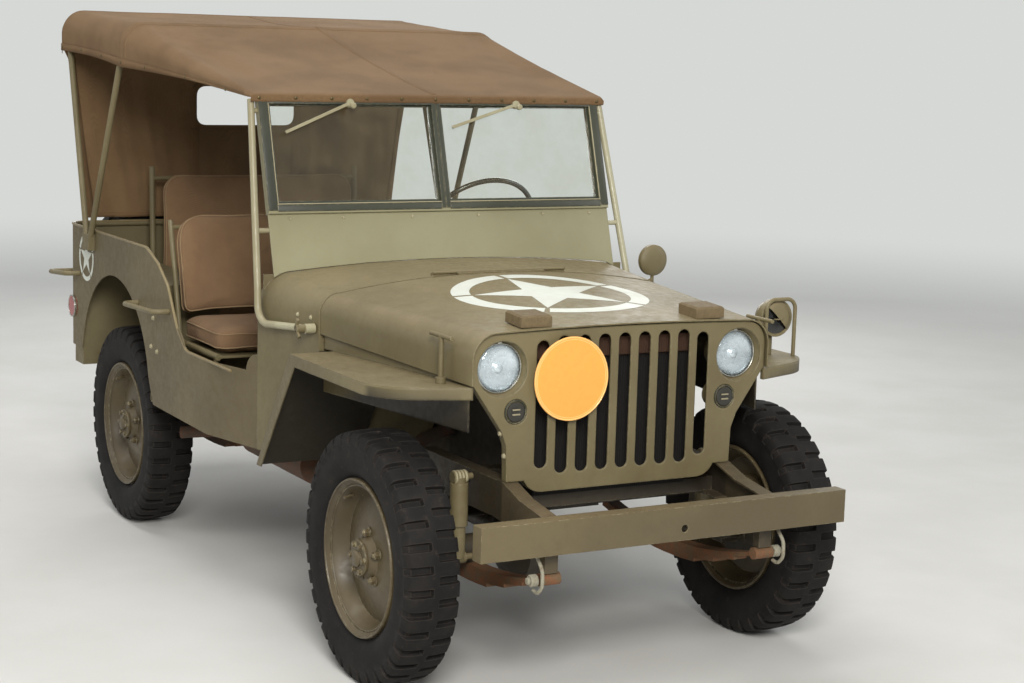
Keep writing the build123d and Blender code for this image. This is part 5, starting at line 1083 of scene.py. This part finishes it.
def painted_mark(name, made, centre, across, along, tree, node):
    """Lays a flat pattern on a node's surface, 0.5 mm proud."""
    bmesh.ops.remove_doubles(made, verts=made.verts, dist=0.00002)
    inward = Vector(across).cross(Vector(along)).normalized()
    for vertex in made.verts:
        above = Vector(centre) + Vector(across) * vertex.co.x + Vector(along) * vertex.co.y
        spot, normal = tree.ray_cast(above, inward)[:2]
        vertex.co = spot - inward * 0.0005 if spot else above
    return from_bmesh(name, made, "body_paint", body_of[node], WHITE, smooth=0)


STAR_R, RING_IN, RING_OUT = 0.229, 0.236, 0.290
HOOD_MARK_SCALE = (1.03, 0.93, 1)
HOOD_MARK_TURN = math.radians(-24.6)
HOOD_MARK_AT = 0.165
SIDE_MARK_AT = 2.359
SIDE_MARK_Z = 0.925
made = bmesh.new()
star_in_ring(made, STAR_R, RING_IN, RING_OUT, HOOD_MARK_TURN, 0.013)
bmesh.ops.scale(made, vec=HOOD_MARK_SCALE, verts=made.verts)
painted_mark(
    "hood_mark", made, (-0.006, station(HOOD_MARK_AT), 1.3), (1, 0, 0), (0, -1, 0), skin_of("hood"), "hood"
).data.shade_smooth()
for side, node in ((-1, "body_side_right"), (1, "body_side_left")):
    made = bmesh.new()
    star_in_ring(made, 0.070, 0.073, 0.089, math.radians(90), 0.005)
    painted_mark(
        f"{node}_mark",
        made,
        (side * 0.9, station(SIDE_MARK_AT), SIDE_MARK_Z),
        (0, -side, 0),
        (0, 0, 1),
        skin_of(node),
        node,
    )


# Lamps: clear lens over a bright bowl, slotted markers, the visor of the blackout lamp, rims of the reflectors

GRILLE_AT = -0.244
MIRROR_BRIGHT = plain("LampBowl", colour(238, 243, 244), 0.22, 0.6, 0.3, 0.1, 0.0001)
LENS = glass("LampLens", (0.96, 0.98, 1.0, 1), 0.05)
SLOT_GLASS = plain("SlotGlass", colour(146, 138, 112), 0.3, 0.0, 0.5)


def side_name(side):
    return "left" if side > 0 else "right"


def headlamp(side):
    centre = Vector((side * 0.385, station(GRILLE_AT + 0.026), 0.901))
    body = body_of["headlamp_lenses"]
    name = side_name(side)
    dome = [(0.0, 0.0655), (0.003, 0.0650), (0.007, 0.0600), (0.0105, 0.0510), (0.0135, 0.0360), (0.0155, 0.0180)]
    inner = [(along - 0.0022, radius - 0.0010) for along, radius in reversed(dome)]
    skins = [(-0.004, 0.0655), *dome, (0.016, 0.0)], [(0.0136, 0.0), *inner, (-0.004, 0.0640)]
    lens = turned(
        f"headlamp_lens_{name}", "lamp_glass", body, skins, centre, segments=64, material=LENS, smooth=60
    )
    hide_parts("headlamp_lenses")
    made = bmesh.new()
    bowl = [(0.0035, 0.0635), (0.0010, 0.0600), (-0.0020, 0.0500), (-0.0042, 0.0360), (-0.0052, 0.0180), (-0.0055, 0.0)]
    lathe(made, bowl, centre, FRONT, 64)
    lathe(made, [(-0.005, 0.013), (0.002, 0.013), (0.0045, 0.010), (0.0052, 0.0)], centre, FRONT, 32)
    from_bmesh(f"headlamp_bowl_{name}", made, "lamp_glass", body, MIRROR_BRIGHT, smooth=50)
    made = bmesh.new()
    rim = [(-0.003, 0.0660), (-0.001, 0.0690), (0.0035, 0.0697), (0.0062, 0.0685), (0.0068, 0.0665), (0.0045, 0.0645)]
    lathe(made, [*rim, (-0.003, 0.0660)], centre, FRONT, 96)
    slab(made, centre + Vector((0, -0.0035, 0.0705)), (0.012, 0.007, 0.005))
    from_bmesh(f"headlamp_rim_{name}", made, "lamp_glass", body, BRIGHT)


def marker_lamp(side):
    centre = Vector((side * 0.341, station(GRILLE_AT + 0.002), 0.782))
    body = body_of["marker_lamps"]
    name = side_name(side)
    face = [(0.0003, 0.0), (0.0035, 0.012), (0.0045, 0.022), (0.0035, 0.0265), (0.0003, 0.0275)]
    turned(f"marker_face_{name}", "dark_frame", body, [face], centre)
    made = bmesh.new()
    for rise in (-0.0065, 0.0065):
        slab(made, centre + Vector((0, -0.0046, rise)), (0.024, 0.003, 0.0045))
    from_bmesh(f"marker_slots_{name}", made, "lamp_glass", body, SLOT_GLASS)
    ring = [(-0.004, 0.0335), (0.0015, 0.0330), (0.0024, 0.0305), (-0.002, 0.0285)]
    turned(f"marker_ring_{name}", "dark_frame", body, [ring], centre, material=DARK_PAINT)


def blackout_face():
    body = body_of["blackout_lamp"]
    centre = Vector((0.638, station(-0.076), 0.972))
    face = [(0.0003, 0.0), (0.0030, 0.020), (0.0022, 0.040), (0.0003, 0.047)]
    turned("blackout_lamp_glass", "black_plastic", body, [face], centre)
    made = bmesh.new()
    visor = [(0.0004, 0.0505), (0.0080, 0.0470), (0.0125, 0.0360), (0.0145, 0.0200), (0.0150, 0.0)]
    lathe(made, visor, centre, FRONT, 32, math.pi / 2, math.pi)
    rim = [(-0.003, 0.0560), (0.0022, 0.0562), (0.0035, 0.0540), (0.0025, 0.0510), (0, 0.0500)]
    lathe(made, rim, centre, FRONT, 64)
    slab(made, centre + Vector((0, -0.0115, -0.002)), (0.030, 0.010, 0.004))
    from_bmesh("blackout_lamp_visor", made, "body_paint", body, smooth=50)


def lamp_rims():
    """Pale rims of the reflectors and the lenses of the tail lamps."""
    made = bmesh.new()
    rim = [(-0.0085, 0.0402), (-0.001, 0.0425), (0.0012, 0.0420), (0.0016, 0.0390), (0.0002, 0.0378)]
    places = [((side * 0.735, station(2.516), 0.722), (side, 0, 0)) for side in (-1, 1)]
    places += [((side * 0.520, station(2.610), 0.700), (0, 1, 0)) for side in (-1, 1)]
    for place, out in places:
        lathe(made, rim, Vector(place), out, 48)
    from_bmesh("reflector_rims", made, "red_reflector", body_of["reflectors"], BRIGHT)
    made = bmesh.new()
    for side in (-1, 1):
        spot = Vector((side * 0.560, station(2.634), 0.900))
        lathe(made, [(0.0003, 0.0), (0.0035, 0.012), (0.0030, 0.024), (0.0003, 0.029)], spot, (0, 1, 0), 40)
    from_bmesh("tail_lamp_lenses", made, "red_reflector", body_of["tail_lamps"])


for side in (-1, 1):
    headlamp(side)
    marker_lamp(side)
blackout_face()
lamp_rims()


# Small fittings

# a paler copy of the olive for the rolled edge of the tub: painted highlight along the roll
LIT_RIM_PAINT = paint("LitRimPaint", colour(138, 124, 90), colour(118, 104, 74), 0.2, 0.1, 0.9, 0.42)
PALE_ORANGE = plain("PaleOrange", colour(248, 190, 112), 0.5, 0.0, 0.1, 0.12)
STEEL = rusty("PaleSteel", colour(150, 146, 128), colour(112, 88, 64), (0.5, 0.75))
SIDE_BOLTS = ((1.60, 0.800), (1.62, 0.700), (1.56, 0.690))
TOP_BAR_BOLTS = (-0.56, -0.36, -0.24, -0.09, 0.09, 0.24, 0.37)
SHEET_BOLTS = [
    # node, where the ray starts, its direction, width across flats; the bolt sits where the ray meets the node
    *[("grille", (side * 0.9, -0.232, z), (-side, 0, 0), 0.011) for side in (-1, 1) for z in (0.661, 0.724)],
    *[("cowl", (side * 0.9, at, 0.945), (-side, 0, 0), 0.010) for side in (-1, 1) for at in (0.53, 0.60)],
    *[("windshield_frame", (x, 0.6, 1.205), (0, 1, 0), 0.008) for x in (-0.54, -0.36, -0.12, 0.12, 0.36, 0.54)],
    *[("windshield_frame", (x, 0.6, 1.5665), (0, 1, 0), 0.009) for x in TOP_BAR_BOLTS],
    *[("body_side_right", (-0.9, at, z), (1, 0, 0), 0.012) for at, z in SIDE_BOLTS],
    *[("body_side_left", (0.9, at, z), (-1, 0, 0), 0.012) for at, z in SIDE_BOLTS],
]


def sheet_bolts():
    by_node = {}
    for node, start, ray, across in SHEET_BOLTS:
        by_node.setdefault(node, []).append((start, ray, across))
    for node, bolts in by_node.items():
        tree = skin_of(node)
        made = bmesh.new()
        for (x, at, z), ray, across in bolts:
            spot = tree.ray_cast(Vector((x, station(at), z)), Vector(ray))[0]
            hexagon(made, spot + Vector(ray) * 0.0004, -Vector(ray), across, across * 0.55)
        from_bmesh(f"{node}_bolts", made, "body_paint", body_of[node], WORN)


def spring_hooks():
    """Bent steel loops and round bushes at the front ends of the springs."""
    made = bmesh.new()
    for side in (-1, 1):
        x = side * 0.388
        eye = Vector((side * 0.345, station(-0.450), 0.3735))
        cylinder(made, eye + Vector((side * 0.036, 0, 0)), eye + Vector((side * 0.058, 0, 0)), 0.017, 20)
        cylinder(made, eye + Vector((side * 0.058, 0, 0)), eye + Vector((side * 0.066, 0, 0)), 0.010, 16)
        loop = [(x, -0.440, 0.448), (x, -0.462, 0.440), (x, -0.492, 0.410), (x, -0.494, 0.366), (x, -0.470, 0.342)]
        loop.append((x, -0.446, 0.346))
        tube_along(made, bent([(a, station(b), c) for a, b, c in loop], 0.03, 5), 0.0052, 10)
    from_bmesh("spring_hooks", made, "spring_steel", body_of["suspension"], STEEL)


def shock_ribs():
    """Ribbed rubber bushes of the shock absorbers' upper eyes."""
    made = bmesh.new()
    for side in (-1, 1):
        for at, z in ((-0.062, 0.572), (2.176, 0.466)):
            for step in range(4):
                middle = Vector((side * (0.412 - 0.015 + 0.010 * step), station(at), z))
                ring = [(-0.0035, 0.0165), (-0.0022, 0.0195), (0.0022, 0.0195), (0.0035, 0.0165)]
                lathe(made, ring, middle, (1, 0, 0), 28)
    from_bmesh("shock_ribs", made, "body_paint", body_of["shock_absorbers"], WORN)


def disc_rim():
    """Rolled edge and a faint pressed ring on the blank disc."""
    low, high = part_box("sign_disc")
    centre = Vector(((low.x + high.x) / 2, low.y, (low.z + high.z) / 2))
    radius = (high.x - low.x) / 2
    rim = [(-0.002, radius + 0.0004), (0.0012, radius - 0.0006), (0.0020, radius - 0.0028), (0.0004, radius - 0.0052)]
    pressed = radius * 0.93
    ring = [(-0.0002, pressed + 0.0016), (0.0006, pressed), (-0.0002, pressed - 0.0016)]
    body = body_of["sign_disc"]
    turned("sign_disc_rim", "orange_paint", body, [rim, ring], centre, segments=96, material=PALE_ORANGE)


def wiper_bosses():
    """Round pivots of the wiper arms."""
    made = bmesh.new()
    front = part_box("wipers")[0].y
    for x in (-0.305, 0.295):
        spot = Vector((x, front + 0.010, 1.552))
        cylinder(made, spot + Vector((0, 0.006, 0)), spot + Vector((0, -0.0095, 0)), 0.0095, 20, 0.25)
    from_bmesh("wiper_bosses", made, "worn_tube", body_of["wipers"])


def tube_knobs():
    """Wing nuts where the windshield's side tubes meet the cowl."""
    made = bmesh.new()
    for side in (-1, 1):
        foot = Vector((side * 0.634, station(0.512), 0.915))
        cylinder(made, foot, foot + Vector((side * 0.030, 0, 0)), 0.0125, 20)
        for behind, rise, tall, lean in ((0, 0.015, 0.034, 0.5), (-0.008, -0.013, 0.030, -0.9)):
            wing = foot + Vector((side * 0.026, behind, rise))
            slab(made, wing, (0.008, 0.011, tall), Matrix.Rotation(lean, 3, "X"))
    from_bmesh("tube_knobs", made, "body_paint", body_of["windshield_tubes"])


def mirror_face():
    """Silvered glass in a rolled rim on the rear side of the mirror, and its domed back."""
    middle = Vector((0.732, station(0.750), 1.051))
    body = body_of["mirror"]
    dome = [(0.0066, 0.0519), (0.0110, 0.0480), (0.0160, 0.0370), (0.0195, 0.0200), (0.0205, 0.0)]
    turned("mirror_back", "body_paint", body, [dome], middle, smooth=60)
    centre = middle + Vector((0, 0.0072, 0))
    face = [(0.0, 0.0), (0.0006, 0.030), (0.0, 0.0470)]
    turned("mirror_glass", "lamp_glass", body, [face], centre, REAR, material=MIRROR_BRIGHT, smooth=60)
    rim = [(-0.004, 0.0521), (0.0012, 0.0524), (0.0024, 0.0500), (0.0012, 0.0474), (-0.0002, 0.0468)]
    turned("mirror_rim", "body_paint", body, [rim], centre, REAR)


DIALS = [
    # x, z, radius
    (0.0, 0.965, 0.040),
    *[(x, z, 0.024) for z in (0.985, 0.935) for x in (-0.085, 0.085)],
]


def dashboard_dials():
    """Blank round dials in the middle of the dashboard."""
    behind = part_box("cowl")[1].y + 0.20
    tree = skin_of("cowl")
    bezels, faces = bmesh.new(), bmesh.new()
    for x, z, radius in DIALS:
        spot = tree.ray_cast(Vector((x, behind, z)), Vector(FRONT))[0]
        lathe(faces, [(0.0004, 0.0), (0.0012, radius * 0.5), (0.0008, radius * 0.9)], spot, (0, 1, 0), 40)
        ring = [(-0.0002, radius * 1.1), (0.0040, radius * 1.08), (0.0048, radius), (0.0030, radius * 0.9)]
        lathe(bezels, ring, spot, (0, 1, 0), 40)
    from_bmesh("dials", faces, "black_plastic", body_of["cowl"])
    from_bmesh("dial_bezels", bezels, "black_paint", body_of["cowl"], BRIGHT)


def body_rim():
    """Rolled edge round the door openings and the top of the tub."""
    made = bmesh.new()
    path = [(-0.7215, 0.885, 0.734), (-0.7215, 1.285, 0.734), (-0.7215, 1.372, 0.800), (-0.7215, 1.463, 0.928)]
    path += [(-0.7215, 1.560, 0.990), (-0.7215, 1.680, 1.033), (-0.7215, 2.5965, 1.033)]
    path += [(-x, at, z) for x, at, z in reversed(path)]
    tube_along(made, bent([(x, station(at), z) for x, at, z in path], 0.075, 6), 0.005, 10)
    from_bmesh("body_rim", made, "body_paint", body_of["tail_panel"], LIT_RIM_PAINT)


WINDSHIELD_SLOPE = 0.3


def glass_surrounds():
    """Dark frames of the two glasses on the front of the windshield, with a pale worn line along the outer side and the
    bottom of each glass.
    """
    leaning = Matrix.Rotation(-math.atan(WINDSHIELD_SLOPE), 3, "X")
    tree = skin_of("windshield_frame")
    low_z, top_z = 1.231, 1.561

    def front_at(z):
        return tree.ray_cast(Vector((0.598, station(0.4), z)), Vector((0, 1, 0)))[0].y

    slope = (front_at(1.540) - front_at(1.240)) / 0.300
    foot = front_at(1.240)

    def bar(made, x, z, size, out):
        """Flat bar of a (wide, thick, tall) size on the leaning front."""
        centre = Vector((x, foot + slope * (z - 1.240), z)) + leaning @ Vector((0, -out, 0))
        slab(made, centre, size, leaning, 0.0012)

    frames, lines = bmesh.new(), bmesh.new()
    for side in (-1, 1):
        for x, wide in ((0.597, 0.030), (0.0085, 0.015)):
            bar(frames, side * x, (low_z + top_z) / 2, (wide, 0.004, (top_z - low_z) * 1.044), 0.0022)
        for z, tall in ((1.2375, 0.021), (1.5590, 0.012)):
            bar(frames, side * 0.299, z, (0.566, 0.004, tall), 0.0022)
        bar(lines, side * 0.5805, 1.401, (0.003, 0.003, 0.322), 0.0040)
        bar(lines, side * 0.299, 1.2495, (0.566, 0.003, 0.003), 0.0040)
    from_bmesh("glass_surrounds", frames, "dark_frame", body_of["windshield_frame"], DARK_PAINT)
    from_bmesh("glass_surround_lines", lines, "dark_frame", body_of["windshield_frame"], WORN)


body_rim()
glass_surrounds()
sheet_bolts()
spring_hooks()
shock_ribs()
disc_rim()
wiper_bosses()
tube_knobs()
mirror_face()
dashboard_dials()


# Camera, at the photograph's viewing angle

CAMERA_PLACE = Vector((-2.9104, FRONT_AXLE_Y - 4.7895, 1.7778))
CAMERA_YAW = -29.30
CAMERA_PITCH = -8.75
CAMERA_ROLL = 1.67
CAMERA_LENS = 69.4


def add_camera():
    camera = linked("Camera", bpy.data.cameras.new("Camera"))
    yaw, pitch, roll = [math.radians(a) for a in (CAMERA_YAW, CAMERA_PITCH, CAMERA_ROLL)]
    ahead = Vector((-math.sin(yaw) * math.cos(pitch), math.cos(yaw) * math.cos(pitch), math.sin(pitch)))
    right = ahead.cross(UP).normalized()
    above = right.cross(ahead)
    turned_right = right * math.cos(roll) + above * math.sin(roll)
    turned_up = above * math.cos(roll) - right * math.sin(roll)
    matrix = Matrix((turned_right, turned_up, -ahead)).transposed().to_4x4()
    matrix.translation = CAMERA_PLACE
    camera.matrix_world = matrix
    camera.data.sensor_width = 36
    camera.data.lens = CAMERA_LENS
    camera.data.clip_end = 200
    bpy.context.scene.camera = camera


def area_light(name, place, target, size, watts, tint=(1, 1, 1)):
    light = linked(name, bpy.data.lights.new(name, "AREA"))
    light.data.shape = "DISK"
    light.data.size = size
    light.data.energy = watts
    light.data.color = tint
    light.location = place
    light.rotation_euler = (Vector(target) - Vector(place)).to_track_quat("-Z", "Y").to_euler()


BACKDROP = colour(214, 216, 213)


def add_stage():
    """Pale floor, pale sky and soft lamps."""
    made = bmesh.new()
    bmesh.ops.create_grid(made, x_segments=1, y_segments=1, size=30)
    floor = linked("Floor", mesh_of("Floor", made))
    pale = Finish("PaleFloor", roughness=0.9, Specular_IOR_Level=0.1)
    cloudy = pale.span(pale.noise(1.5, 4), 0.3, 0.7)
    pale.set("Base Color", pale.mix(cloudy, colour(212, 211, 207), colour(206, 205, 200)))
    away = pale.add("VectorMath", (0, pale.place), operation="LENGTH").outputs["Value"]
    seen = pale.add("LightPath").outputs["Is Camera Ray"]
    far = pale.maths("MULTIPLY", pale.span(away, 3.2, 13.0), seen)
    glow = pale.add("Emission", ("Color", BACKDROP))
    blend = pale.add("MixShader", (0, far), (1, pale.shader.outputs[0]), (2, glow.outputs[0]))
    pale.put(pale.out.inputs[0], blend.outputs[0])
    floor.data.materials.append(pale.material)
    world = bpy.data.worlds.new("Studio")
    bpy.context.scene.world = world
    world.use_nodes = True
    tree = world.node_tree
    tree.nodes.clear()
    out = tree.nodes.new("ShaderNodeOutputWorld")
    path = tree.nodes.new("ShaderNodeLightPath")
    seen = path.outputs["Is Camera Ray"]
    for kind in ("Is Glossy Ray", "Is Transmission Ray"):
        either = tree.nodes.new("ShaderNodeMath")
        either.operation = "MAXIMUM"
        tree.links.new(seen, either.inputs[0])
        tree.links.new(path.outputs[kind], either.inputs[1])
        seen = either.outputs[0]
    dim = tree.nodes.new("ShaderNodeBackground")
    dim.inputs[0].default_value = (0.80, 0.82, 0.84, 1)
    dim.inputs[1].default_value = 0.36
    shown = tree.nodes.new("ShaderNodeBackground")
    shown.inputs[0].default_value = BACKDROP
    shown.inputs[1].default_value = 1.0
    choose = tree.nodes.new("ShaderNodeMixShader")
    tree.links.new(seen, choose.inputs[0])
    tree.links.new(dim.outputs[0], choose.inputs[1])
    tree.links.new(shown.outputs[0], choose.inputs[2])
    tree.links.new(choose.outputs[0], out.inputs[0])
    area_light("Key", (-2.8, -6.6, 4.0), (0, -0.2, 0.8), 2.6, 500, (1, 0.98, 0.94))
    area_light("Left", (5.5, -3.0, 3.0), (0, 0, 0.7), 3.5, 60, (0.96, 0.98, 1))
    area_light("Right", (-6.0, 1.5, 3.5), (0, 0, 0.8), 3.0, 60, (1, 1, 1))
    area_light("Top", (-0.8, 0.6, 6.5), (0, 0.2, 1.0), 4.0, 190, (1, 1, 1))
    area_light("Back", (3.0, 5.5, 3.0), (0, 0, 0.8), 3.5, 150, (1, 1, 1))


add_camera()
add_stage()
bpy.context.scene.view_settings.view_transform = "Standard"
